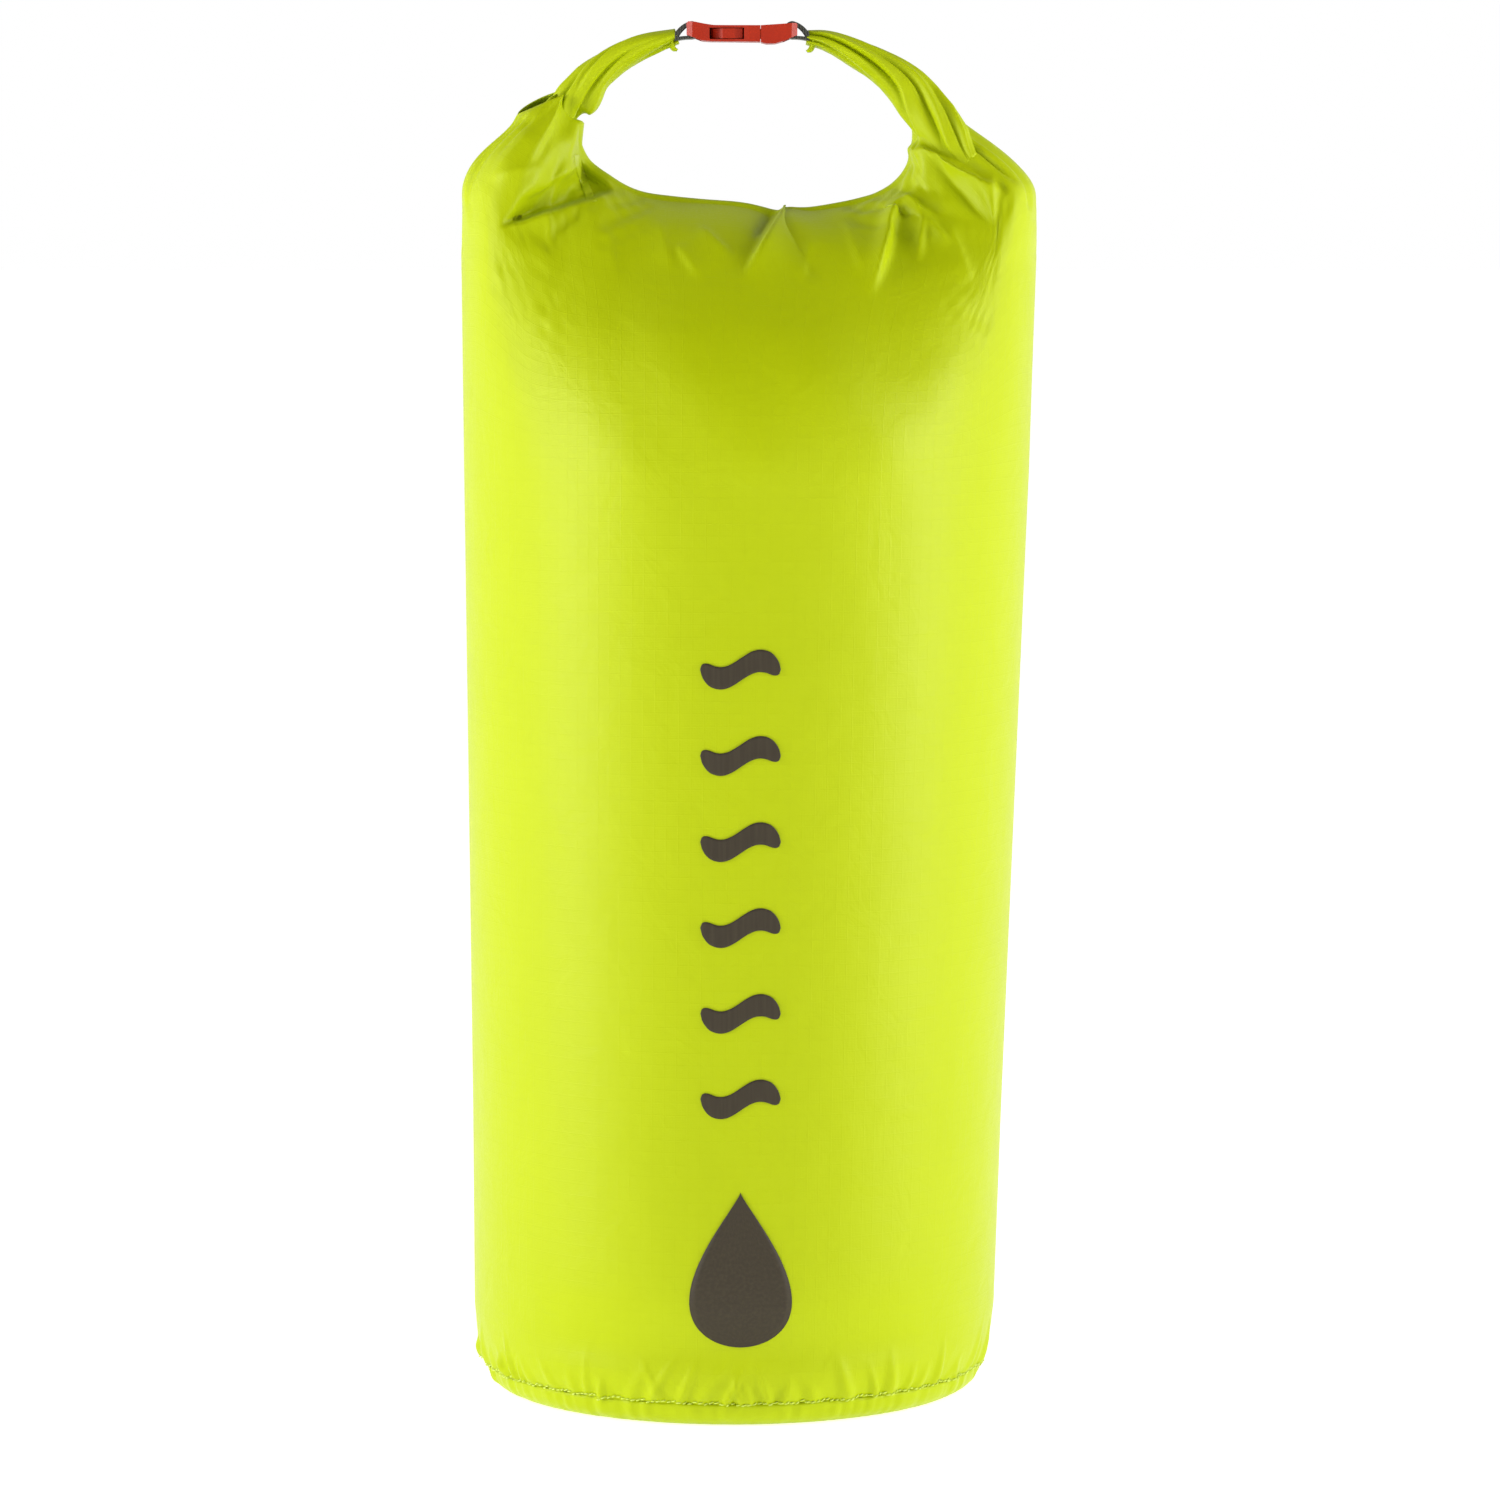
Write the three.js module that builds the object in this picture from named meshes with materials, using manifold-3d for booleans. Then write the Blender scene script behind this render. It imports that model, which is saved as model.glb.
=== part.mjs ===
// A 20 litre roll-top dry bag, filled and standing, with its mouth rolled shut and the two ends of the
// roll pulled up and clipped together as a carry loop. Millimetres, +Z up, the buckle's length along X,
// the front towards -Y, the origin on the floor at the middle of the base.
import * as THREE from "three";
import { mergeVertices } from "three/addons/utils/BufferGeometryUtils.js";
import Module from "manifold-3d";

const wasm = await Module();
wasm.setup();

// ---- Driving dimensions ----

const GAP = 0.4; // between neighbouring solids
const FABRIC = 1.2; // wall that stands for the coated cloth

const BASE_RADIUS = 112; // the round base panel
const BASE_FLAT_RADIUS = 98; // the part of it that lies on the floor
const BASE_SEAM_Z = 10; // height of the seam between base and body

const FOOT_RADIUS = 113; // the body where it meets the base
const CHEST_HALF_WIDTH = 122; // the body just under the shoulders, along X
const CHEST_HALF_DEPTH = 115; // and along Y
const SHOULDER_Z = 415; // where the body starts to close
const NECK_Z = 489; // where it meets the rolled mouth
const NECK_HALF_WIDTH = 118;
const NECK_HALF_DEPTH = 6;

const ROLL_TOP_Z = 507;
const ROLL_HALF_LENGTH = 62.5; // the stretch that lies along the neck, between the carry loop's ends
const ROLL_CORE_HALF_HEIGHT = 2.5; // the flat core that the hem band gives the roll
const ROLL_INNER_OFFSET = 2; // middle of the first wrap, from the core
const ROLL_OUTER_OFFSET = 5.7; // middle of the last wrap
const ROLL_TURNS = 2;
const ROLL_Z = ROLL_TOP_Z - ROLL_CORE_HALF_HEIGHT - ROLL_OUTER_OFFSET - FABRIC / 2;

const LOOP_Z = 579; // height of the buckle's middle plane
const HANDLE_TIP_X = 31;
const HANDLE_TIP_Z = LOOP_Z - 1.7;
const HANDLE_SPLIT_Z = 545; // where the right end parts into a fixed and a moving stretch
const KNUCKLE_RADIUS = 5; // the handle's foot is round about the line that the carry loop tips over
const SWING_AXIS_Z = NECK_Z + GAP + KNUCKLE_RADIUS;

const WEBBING_WIDTH = 20;
const WEBBING_THICKNESS = 1.2;

const BUCKLE_HALF_LENGTH = 23.4;
const BUCKLE_HALF_WIDTH = 13.2;
const BUCKLE_PARTING_X = 7.8; // where the two halves meet
const BUCKLE_REACH = 2 * BUCKLE_HALF_LENGTH; // longer than the buckle any way, for cuts and blanks
const BAR_X = 21.4; // middle of a webbing bar
const BAR_Z = 1; // above the buckle's middle plane
const BAR_HALF_SIZE = 1.5;
const BAR_SLOT_X = 17.3; // the far side of the slot behind the bar
const SOCKET_HALF_WIDTH = 9.8;
const SOCKET_HEIGHT = 4.8;
const SOCKET_Z = -0.5; // middle of the socket, from the buckle's middle plane
const SOCKET_END_X = -15.4;
const STOP_X = -12.6; // the face that the centre guide meets
const STOP_HALF_WIDTH = 2.8;
const WINDOW_X = [-13.7, 0.9];

const PRONG_ROOT_Y = 7.6; // middle of an arm where it joins the male half
const PRONG_THICKNESS = 4.2;

const ROUND_SIDES = 48;

// ---- Materials ----

const lime = new THREE.MeshStandardMaterial({ color: 0xc3da02, roughness: 0.55, metalness: 0 });
const limeInside = new THREE.MeshStandardMaterial({ color: 0xb9c95a, roughness: 0.4, metalness: 0 });
const clearTape = new THREE.MeshStandardMaterial({ color: 0xc9d27a, roughness: 0.3, metalness: 0 });
const greyWebbing = new THREE.MeshStandardMaterial({ color: 0x3f4038, roughness: 0.85, metalness: 0 });
const orangePlastic = new THREE.MeshStandardMaterial({ color: 0xc8340c, roughness: 0.4, metalness: 0 });
const hemWeb = new THREE.MeshStandardMaterial({ color: 0x4a4a46, roughness: 0.8, metalness: 0 });

// ---- Geometry helpers ----

const mix = (a, b, t) => a + (b - a) * t;
const smooth = (t) => t * t * (3 - 2 * t);

// A closed surface through rings of equal length, each anticlockwise seen from the far end of the row.
// A looped row joins its last ring to its first; any other row is closed by a flat cap at each end.
function loft(rings, looped = false) {
  const sides = rings[0].length;
  const index = [];
  const joins = looped ? rings.length : rings.length - 1;
  for (let i = 0; i < joins; i++) {
    const low = i * sides;
    const high = ((i + 1) % rings.length) * sides;
    for (let j = 0; j < sides; j++) {
      const k = (j + 1) % sides;
      index.push(low + j, low + k, high + k, low + j, high + k, high + j);
    }
  }
  if (!looped) {
    const top = (rings.length - 1) * sides;
    for (let j = 1; j < sides - 1; j++) {
      index.push(0, j + 1, j, top, top + j, top + j + 1);
    }
  }
  const positions = rings.flat().flatMap((p) => [p.x, p.y, p.z]);
  const geometry = new THREE.BufferGeometry();
  geometry.setAttribute("position", new THREE.Float32BufferAttribute(positions, 3));
  geometry.setIndex(index);
  geometry.computeVertexNormals();
  return geometry;
}

function solidOf(geometry) {
  const bare = geometry.clone();
  for (const name of ["normal", "uv"]) bare.deleteAttribute(name);
  const merged = mergeVertices(bare, 1e-3);
  return new wasm.Manifold(
    new wasm.Mesh({
      numProp: 3,
      vertProperties: new Float32Array(merged.attributes.position.array),
      triVerts: new Uint32Array(merged.index.array),
    }),
  );
}

function geometryOf(solid) {
  const mesh = solid.getMesh();
  const geometry = new THREE.BufferGeometry();
  geometry.setAttribute("position", new THREE.Float32BufferAttribute(mesh.vertProperties, 3));
  geometry.setIndex(new THREE.BufferAttribute(mesh.triVerts, 1));
  geometry.computeVertexNormals();
  return geometry;
}

// A box from its lowest to its highest corner.
function block([x0, y0, z0], [x1, y1, z1]) {
  return new THREE.BoxGeometry(x1 - x0, y1 - y0, z1 - z0).translate(
    (x0 + x1) / 2,
    (y0 + y1) / 2,
    (z0 + z1) / 2,
  );
}

// An outline in X and Z, extruded along Y from -halfWidth to +halfWidth.
function plate(shape, halfWidth) {
  const geometry = new THREE.ExtrudeGeometry(shape, {
    depth: 2 * halfWidth,
    bevelEnabled: false,
    curveSegments: 10,
  });
  return geometry.rotateX(Math.PI / 2).translate(0, halfWidth, 0);
}

// An outline in X and Y, extruded along Z over the given height.
function slab(points, z0, z1) {
  const shape = new THREE.Shape(points.map(([x, y]) => new THREE.Vector2(x, y)));
  return new THREE.ExtrudeGeometry(shape, { depth: z1 - z0, bevelEnabled: false }).translate(0, 0, z0);
}

// ---- Body and base ----

// Half the body's outer width and depth at a height.
function bodySection(z) {
  if (z <= SHOULDER_Z) {
    const t = (z - BASE_SEAM_Z) / (SHOULDER_Z - BASE_SEAM_Z);
    return {
      halfWidth: mix(FOOT_RADIUS, CHEST_HALF_WIDTH, t),
      halfDepth: mix(FOOT_RADIUS, CHEST_HALF_DEPTH, t),
    };
  }
  const t = (z - SHOULDER_Z) / (NECK_Z - SHOULDER_Z);
  return {
    halfWidth: mix(CHEST_HALF_WIDTH, NECK_HALF_WIDTH, t * t),
    halfDepth: mix(CHEST_HALF_DEPTH, NECK_HALF_DEPTH, 0.35 * smooth(t) + 0.65 * t * t),
  };
}

// A ring of the body at a height, moved outwards by an offset, from one angle to another.
function bodyRing(z, offset, sides = ROUND_SIDES, from = 0, to = 2 * Math.PI) {
  const { halfWidth, halfDepth } = bodySection(z);
  const steps = to - from < 2 * Math.PI ? sides - 1 : sides;
  return Array.from({ length: sides }, (_, i) => {
    const angle = mix(from, to, i / steps);
    return new THREE.Vector3(
      (halfWidth + offset) * Math.cos(angle),
      (halfDepth + offset) * Math.sin(angle),
      z,
    );
  });
}

const bodyHeights = [0, 0.12, 0.3, 0.5, 0.7, 0.85, 1]
  .map((t) => mix(BASE_SEAM_Z, SHOULDER_Z, t))
  .concat([0.14, 0.28, 0.42, 0.56, 0.7, 0.85, 1].map((t) => mix(SHOULDER_Z, NECK_Z, t)));

// The one panel of coated cloth that makes the body's wall, its shoulders and the neck under the roll.
function bodyPanel() {
  const outside = bodyHeights.map((z) => bodyRing(z, 0));
  const inside = bodyHeights.map((z) => bodyRing(z, -FABRIC)).reverse();
  return loft([...outside, ...inside], true);
}

// A shallow dish whose rim turns up to the base seam.
function basePanel() {
  const rimTurn = BASE_RADIUS - BASE_FLAT_RADIUS;
  const rimHeight = BASE_SEAM_Z - GAP;
  const profile = [new THREE.Vector2(0, 0)];
  const inner = [];
  for (let i = 0; i <= 5; i++) {
    const angle = (i / 5) * (Math.PI / 2);
    profile.push(
      new THREE.Vector2(
        BASE_FLAT_RADIUS + rimTurn * Math.sin(angle),
        rimHeight * (1 - Math.cos(angle)),
      ),
    );
    inner.push(
      new THREE.Vector2(
        BASE_FLAT_RADIUS + (rimTurn - FABRIC) * Math.sin(angle),
        FABRIC + (rimHeight - FABRIC) * (1 - Math.cos(angle)),
      ),
    );
  }
  profile.push(...inner.reverse(), new THREE.Vector2(0, FABRIC));
  return new THREE.LatheGeometry(profile, ROUND_SIDES).rotateX(Math.PI / 2);
}

// The tape that seals the base seam from inside, as a band on the body's wall.
function baseSeamTape() {
  const tapeThickness = 0.8;
  const tapeHeight = 13;
  const low = BASE_SEAM_Z + GAP;
  const outer = -FABRIC - GAP;
  const rings = [
    bodyRing(low, outer),
    bodyRing(low + tapeHeight, outer),
    bodyRing(low + tapeHeight, outer - tapeThickness),
    bodyRing(low, outer - tapeThickness),
  ];
  return loft(rings, true);
}

// A strip that follows the body's wall up its side seam, between two offsets from the outer face.
const SIDE_SEAM_ANGLE = THREE.MathUtils.degToRad(164);
function sideSeamStrip(width, innerOffset, outerOffset, z0, z1) {
  const halfAngle = width / 2 / CHEST_HALF_WIDTH;
  const rings = [];
  for (let i = 0; i <= 6; i++) {
    const z = mix(z0, z1, i / 6);
    const across = [SIDE_SEAM_ANGLE - halfAngle, SIDE_SEAM_ANGLE + halfAngle];
    const outer = bodyRing(z, outerOffset, 4, ...across);
    const inner = bodyRing(z, innerOffset, 4, ...across).reverse();
    rings.push([...outer, ...inner]);
  }
  return loft(rings);
}

// ---- Rolled mouth ----

// A flat spiral of cloth: each wrap goes round a thin upright core.
function rolledMouth() {
  const stepsPerTurn = 16;
  const steps = ROLL_TURNS * stepsPerTurn;
  const at = (i, side) => {
    const angle = (i / stepsPerTurn) * 2 * Math.PI + Math.PI / stepsPerTurn;
    const offset = mix(ROLL_INNER_OFFSET, ROLL_OUTER_OFFSET, i / steps) + (side * FABRIC) / 2;
    const core = Math.sign(Math.cos(angle)) * ROLL_CORE_HALF_HEIGHT;
    return new THREE.Vector2(offset * Math.sin(angle), core + offset * Math.cos(angle));
  };
  const points = [];
  for (let i = 0; i <= steps; i++) points.push(at(i, 1));
  for (let i = steps; i >= 0; i--) points.push(at(i, -1));
  const geometry = new THREE.ExtrudeGeometry(new THREE.Shape(points), {
    depth: 2 * ROLL_HALF_LENGTH,
    bevelEnabled: false,
  });
  // The outline's X and Y become the part's Y and Z, and the extrusion runs along X.
  return geometry.rotateX(Math.PI / 2).rotateZ(Math.PI / 2).translate(-ROLL_HALF_LENGTH, 0, ROLL_Z);
}

function hemBand() {
  const halfThickness = 0.5;
  const halfHeight = ROLL_CORE_HALF_HEIGHT;
  const halfLength = ROLL_HALF_LENGTH - 2;
  return block(
    [-halfLength, -halfThickness, ROLL_Z - halfHeight],
    [halfLength, halfThickness, ROLL_Z + halfHeight],
  );
}

// ---- Carry loop: the gathered ends of the roll ----

// One end of the roll, from the neck up and in to its tip. side is -1 for the left, 1 for the right.
function handleEnd(side) {
  // Each station: X, Z, half width in the loop's plane, half depth across it.
  const stations = [
    [91.2, SWING_AXIS_Z, 28, KNUCKLE_RADIUS],
    [91.2, 508, 28, 8],
    [89.5, 526, 19.5, 11],
    [79, 547, 12.5, 11],
    [57, 568, 8.5, 10],
    [HANDLE_TIP_X, HANDLE_TIP_Z, 3.6, 9.4],
  ];
  const spine = new THREE.CatmullRomCurve3(stations.map(([x, z]) => new THREE.Vector3(x, 0, z)));
  const between = (column, t) => {
    const i = Math.min(Math.floor(t * (stations.length - 1)), stations.length - 2);
    return mix(stations[i][column], stations[i + 1][column], t * (stations.length - 1) - i);
  };
  const sides = 16;
  const ring = (centre, across, halfWidth, halfDepth) => {
    const points = [];
    for (let j = 0; j < sides; j++) {
      const angle = (j / sides) * 2 * Math.PI;
      const point = centre.clone().addScaledVector(across, halfWidth * Math.cos(angle));
      point.y += halfDepth * Math.sin(angle);
      point.x *= side;
      points.push(point);
    }
    return side > 0 ? points : points.reverse();
  };

  const level = new THREE.Vector3(1, 0, 0);
  const rings = [];
  for (const angle of [0.35, 0.8, 1.2]) {
    const drop = new THREE.Vector3(0, 0, -KNUCKLE_RADIUS * Math.cos(angle));
    rings.push(ring(spine.getPoint(0).add(drop), level, stations[0][2], KNUCKLE_RADIUS * Math.sin(angle)));
  }
  const steps = 13;
  for (let i = 0; i <= steps; i++) {
    const t = i / steps;
    const tangent = spine.getTangent(t);
    const square = new THREE.Vector3(tangent.z, 0, -tangent.x);
    // The foot's rings are level, and they turn square to the spine further up.
    const across = level.clone().lerp(square, Math.min(1, 2.5 * t)).normalize();
    rings.push(ring(spine.getPoint(t), across, between(2, t), between(3, t)));
  }
  return loft(rings);
}

// The part of a handle end between two heights.
function betweenHeights(geometry, z0, z1) {
  const reach = 2 * CHEST_HALF_WIDTH;
  const keep = solidOf(block([-reach, -reach, z0], [reach, reach, z1]));
  return geometryOf(solidOf(geometry).intersect(keep));
}

// ---- Webbing ----

// A folded loop of webbing: round a buckle bar and back to the tip of a handle end, which hangs lower.
function webbingLoop(side) {
  const inner = 2.5;
  const outer = inner + WEBBING_THICKNESS;
  const tailX = HANDLE_TIP_X - 2.6;
  const tailZ = HANDLE_TIP_Z - LOOP_Z - 0.2;
  const tailHalfHeight = 1.7; // both plies and the cloth that is sewn between them
  const outside = new THREE.Path();
  outside.moveTo(tailX, tailZ - tailHalfHeight);
  outside.lineTo(tailX, tailZ + tailHalfHeight);
  outside.quadraticCurveTo(tailX - 2.9, BAR_Z + outer - 0.8, BAR_X, BAR_Z + outer);
  outside.absarc(BAR_X, BAR_Z, outer, Math.PI / 2, (3 * Math.PI) / 2, false);
  outside.quadraticCurveTo(tailX - 2.9, BAR_Z - outer, tailX, tailZ - tailHalfHeight);
  const eyeX = tailX - 1.3;
  const eye = new THREE.Path();
  eye.moveTo(eyeX, tailZ);
  eye.quadraticCurveTo(eyeX - 2.2, BAR_Z + inner - 1.4, BAR_X, BAR_Z + inner);
  eye.absarc(BAR_X, BAR_Z, inner, Math.PI / 2, (3 * Math.PI) / 2, false);
  eye.quadraticCurveTo(eyeX - 2.2, BAR_Z - inner, eyeX, tailZ);
  const outline = new THREE.Shape(outside.getPoints(8));
  outline.holes.push(new THREE.Path(eye.getPoints(8)));
  const geometry = plate(outline, WEBBING_WIDTH / 2);
  if (side < 0) geometry.rotateZ(Math.PI);
  return geometry.translate(0, 0, LOOP_Z);
}

// ---- Side-release buckle ----

// A block with this side view, in X and Z, and this plan, in X and Y. Both run from the right-hand end.
function buckleBlank(sideView, plan) {
  const profile = new THREE.Shape(sideView.map(([x, z]) => new THREE.Vector2(x, z)));
  const raised = solidOf(plate(profile, BUCKLE_HALF_WIDTH + 1));
  return raised.intersect(solidOf(slab(plan, -BUCKLE_REACH, BUCKLE_REACH)));
}

// Frees the webbing bar at one end of a blank: a slot behind it, and open air around it.
function withWebbingBar(blank, side) {
  const halfWidth = WEBBING_WIDTH / 2 + 0.6;
  const cut = (x0, x1, z0, z1) => {
    const [low, high] = side > 0 ? [x0, x1] : [-x1, -x0];
    return solidOf(block([low, -halfWidth, z0], [high, halfWidth, z1]));
  };
  return blank
    .subtract(cut(BAR_SLOT_X, BAR_X - BAR_HALF_SIZE, -BUCKLE_REACH, BUCKLE_REACH))
    .subtract(cut(BAR_X + BAR_HALF_SIZE, BUCKLE_REACH, -BUCKLE_REACH, BUCKLE_REACH))
    .subtract(cut(BAR_SLOT_X, BUCKLE_REACH, BAR_Z + BAR_HALF_SIZE, BUCKLE_REACH))
    .subtract(cut(BAR_SLOT_X, BUCKLE_REACH, -BUCKLE_REACH, BAR_Z - BAR_HALF_SIZE));
}

function mirrored(points) {
  return [...points, ...points.map(([x, y]) => [x, -y]).reverse()];
}

function buckleFemale() {
  const sideView = [
    [BUCKLE_PARTING_X, 2.9],
    [-12, 3],
    [-16, 3.6],
    [-20, 4.4],
    [-22.6, 4.6],
    [-BUCKLE_HALF_LENGTH, 4],
    [-BUCKLE_HALF_LENGTH, -1.1],
    [-17, -3.5],
    [-13, -3.8],
    [BUCKLE_PARTING_X, -4],
  ];
  // The waist between the ends lets fingers find the prongs.
  const waist = [0.1, 0.3, 0.5, 0.7, 0.9].map((t) => {
    const x = mix(WINDOW_X[1], WINDOW_X[0], t);
    return [x, BUCKLE_HALF_WIDTH - 0.3 - 1.6 * Math.sin(Math.PI * t)];
  });
  const plan = mirrored([
    [BUCKLE_PARTING_X, BUCKLE_HALF_WIDTH - 0.2],
    [3, BUCKLE_HALF_WIDTH],
    ...waist,
    [-16, BUCKLE_HALF_WIDTH],
    [-21, BUCKLE_HALF_WIDTH - 0.2],
    [-BUCKLE_HALF_LENGTH, BUCKLE_HALF_WIDTH - 2],
  ]);
  const low = SOCKET_Z - SOCKET_HEIGHT / 2;
  const high = SOCKET_Z + SOCKET_HEIGHT / 2;
  const socket = solidOf(
    block([SOCKET_END_X, -SOCKET_HALF_WIDTH, low], [BUCKLE_PARTING_X + 1, SOCKET_HALF_WIDTH, high]),
  );
  const windows = solidOf(
    block([WINDOW_X[0], -BUCKLE_REACH, low], [WINDOW_X[1], BUCKLE_REACH, high]),
  );
  const stop = solidOf(
    block([SOCKET_END_X - 1, -STOP_HALF_WIDTH, low - 0.5], [STOP_X, STOP_HALF_WIDTH, high + 0.5]),
  );
  const half = withWebbingBar(buckleBlank(sideView, plan), -1).subtract(socket).subtract(windows);
  return geometryOf(half.add(stop)).translate(0, 0, LOOP_Z);
}

function buckleMale() {
  const face = BUCKLE_PARTING_X + GAP / 2;
  const sideView = [
    [BUCKLE_HALF_LENGTH - 0.6, 3.9],
    [face, 2.9],
    [face, -4.2],
    [10.5, -4.8],
    [14, -4.7],
    [18, -3.6],
    [BUCKLE_HALF_LENGTH, -1.2],
    [BUCKLE_HALF_LENGTH, 3.4],
  ];
  const plan = mirrored([
    [BUCKLE_HALF_LENGTH, BUCKLE_HALF_WIDTH - 2],
    [21, BUCKLE_HALF_WIDTH - 0.2],
    [15, BUCKLE_HALF_WIDTH],
    [face, BUCKLE_HALF_WIDTH - 0.2],
  ]);
  const guideTipX = -11;
  const guide = mirrored([
    [face + 2, 2.4],
    [guideTipX + 2, 2],
    [guideTipX, 1],
  ]);
  const tongue = solidOf(
    slab(guide, SOCKET_Z - PRONG_THICKNESS / 2, SOCKET_Z + PRONG_THICKNESS / 2),
  );
  const half = withWebbingBar(buckleBlank(sideView, plan), 1);
  return geometryOf(half.add(tongue)).translate(0, 0, LOOP_Z);
}

// A sprung arm of the male half with the button at its end. side is -1 for the front, 1 for the back.
function prong(side) {
  const rootX = BUCKLE_PARTING_X - 0.2;
  const shoulderX = WINDOW_X[1] - 0.7;
  const outline = [
    [rootX, PRONG_ROOT_Y + 1.1],
    [shoulderX + 0.6, PRONG_ROOT_Y + 1.4],
    [shoulderX, 11.2],
    [-3.2, 11.9],
    [-8.2, 11.7],
    [-12.2, 9.6],
    [-13.2, 8],
    [-12.4, 7.2],
    [-4, 6.7],
    [rootX, PRONG_ROOT_Y - 1.2],
  ].map(([x, y]) => [x, side * y]);
  const middle = LOOP_Z + SOCKET_Z;
  return slab(outline, middle - PRONG_THICKNESS / 2, middle + PRONG_THICKNESS / 2);
}

// ---- Assembly ----

const bag = new THREE.Group();

function add(name, geometry, material) {
  const mesh = new THREE.Mesh(geometry, material);
  mesh.name = name;
  bag.add(mesh);
}

add("body_panel", bodyPanel(), lime);
add("base_panel", basePanel(), lime);
add("base_seam_tape", baseSeamTape(), clearTape);
add("side_seam_lap", sideSeamStrip(12, GAP, GAP + 0.7, BASE_SEAM_Z + 2, SHOULDER_Z), lime);
add(
  "side_seam_tape",
  sideSeamStrip(20, -FABRIC - GAP - 0.8, -FABRIC - GAP, BASE_SEAM_Z + 16, SHOULDER_Z),
  clearTape,
);
add("rolled_mouth", rolledMouth(), limeInside);
add("hem_band", hemBand(), hemWeb);

const rightEnd = handleEnd(1);
add("left_handle_end", handleEnd(-1), lime);
add("right_handle_root", betweenHeights(rightEnd, 0, HANDLE_SPLIT_Z), lime);
add("right_handle_end", betweenHeights(rightEnd, HANDLE_SPLIT_Z + GAP, 2 * LOOP_Z), lime);

add("left_webbing", webbingLoop(-1), greyWebbing);
add("right_webbing", webbingLoop(1), greyWebbing);
add("buckle_female", buckleFemale(), orangePlastic);
add("buckle_male", buckleMale(), orangePlastic);
add("front_prong", prong(-1), orangePlastic);
add("back_prong", prong(1), orangePlastic);

export default bag;
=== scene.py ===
import math

import bmesh
import bpy
import numpy as np
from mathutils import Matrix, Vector
from mathutils.bvhtree import BVHTree


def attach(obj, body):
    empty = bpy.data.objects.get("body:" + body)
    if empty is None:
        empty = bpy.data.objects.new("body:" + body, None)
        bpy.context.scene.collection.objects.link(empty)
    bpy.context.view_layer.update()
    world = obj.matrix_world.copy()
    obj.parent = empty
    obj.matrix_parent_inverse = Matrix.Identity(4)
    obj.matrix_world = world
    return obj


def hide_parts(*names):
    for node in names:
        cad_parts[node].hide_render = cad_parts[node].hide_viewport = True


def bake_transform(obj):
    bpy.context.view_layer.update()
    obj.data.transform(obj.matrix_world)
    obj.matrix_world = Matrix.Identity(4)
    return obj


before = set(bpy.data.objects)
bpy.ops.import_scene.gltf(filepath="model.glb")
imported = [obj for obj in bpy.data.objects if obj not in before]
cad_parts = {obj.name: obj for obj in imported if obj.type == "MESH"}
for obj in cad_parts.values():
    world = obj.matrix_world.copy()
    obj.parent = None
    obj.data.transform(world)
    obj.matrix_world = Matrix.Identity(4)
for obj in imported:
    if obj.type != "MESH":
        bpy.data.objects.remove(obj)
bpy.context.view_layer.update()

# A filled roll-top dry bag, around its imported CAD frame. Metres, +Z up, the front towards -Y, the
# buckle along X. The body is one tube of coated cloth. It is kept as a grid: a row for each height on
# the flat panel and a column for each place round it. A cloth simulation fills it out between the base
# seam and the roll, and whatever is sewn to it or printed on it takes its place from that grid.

# ---- Driving sizes ----

FLAT_HALF = 0.185  # half the width of the empty bag, laid flat
CIRCUMFERENCE = 4 * FLAT_HALF
BASE_SEAM_Z = 0.0096
BASE_SEAM_RADIUS = 0.1060
BASE_FLAT_RADIUS = 0.098
LEAN = -0.0038  # the foot stands this far to the left of the buckle
CLOTH = 0.0004  # drawn thickness of the coated cloth
TAPE = 0.0002  # and of the seam tape and the print

TOP_HEIGHT = 0.554  # height on the flat panel where it turns over the roll
SHOULDER_HEIGHT = 0.395  # where the filled body starts to close
FOOT_RADIUS = 0.1150  # of the wall, just above the base seam
CHEST_RADIUS = 0.1180

EAR_FLAT = 0.062  # on the flat panel from its middle: where the roll turns up into the carry loop
LEFT_THROAT_FLAT = 0.108  # where the left ear is gathered round its rope
RIGHT_THROAT_FLAT = 0.122
ROLL_HALF_HEIGHT = 0.0088
ROLL_HALF_DEPTH = 0.0065
ROLL_PIN_ANGLE = math.radians(39)  # forwards from the roll's top: where the panel meets it

# The roll's middle line from the left throat to the right throat, in X and Z.
ROLL_LINE = [
    (-0.0776, 0.5515), (-0.08, 0.543), (-0.0763, 0.5325), (-0.071, 0.52), (-0.06, 0.511),
    (-0.046, 0.504), (-0.03, 0.501), (-0.003, 0.499), (0.018, 0.4942), (0.0255, 0.4962), (0.05, 0.5),
    (0.066, 0.506), (0.078, 0.516), (0.083, 0.527), (0.0815, 0.54), (0.0775, 0.548),
]
# The ropes' middle lines, each from inside its ear to its tip.
LEFT_ROPE_LINE = [
    (-0.077, 0.542), (-0.074, 0.55), (-0.068, 0.5556), (-0.056, 0.5656), (-0.044, 0.5724),
    (-0.0275, 0.5775),
]
RIGHT_ROPE_LINE = [
    (0.096, 0.525), (0.0895, 0.5325), (0.0835, 0.54), (0.0765, 0.5485), (0.0695, 0.557), (0.06, 0.564),
    (0.047, 0.571), (0.036, 0.5755), (0.0275, 0.577),
]

COLUMNS = 144
FRONT_TURN = 0.25  # the front's middle, as a share of the way round from the left side line


# ---- Numbers and curves ----


def smoothstep(low, high, x):
    t = np.clip((np.asarray(x, float) - low) / (high - low), 0, 1)
    return t * t * (3 - 2 * t)


def bump(middle, half_width, x):
    """1 at the middle, falling smoothly to 0 at half_width on each side."""
    return 1 - smoothstep(0, half_width, np.abs(np.asarray(x, float) - middle))


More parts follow.
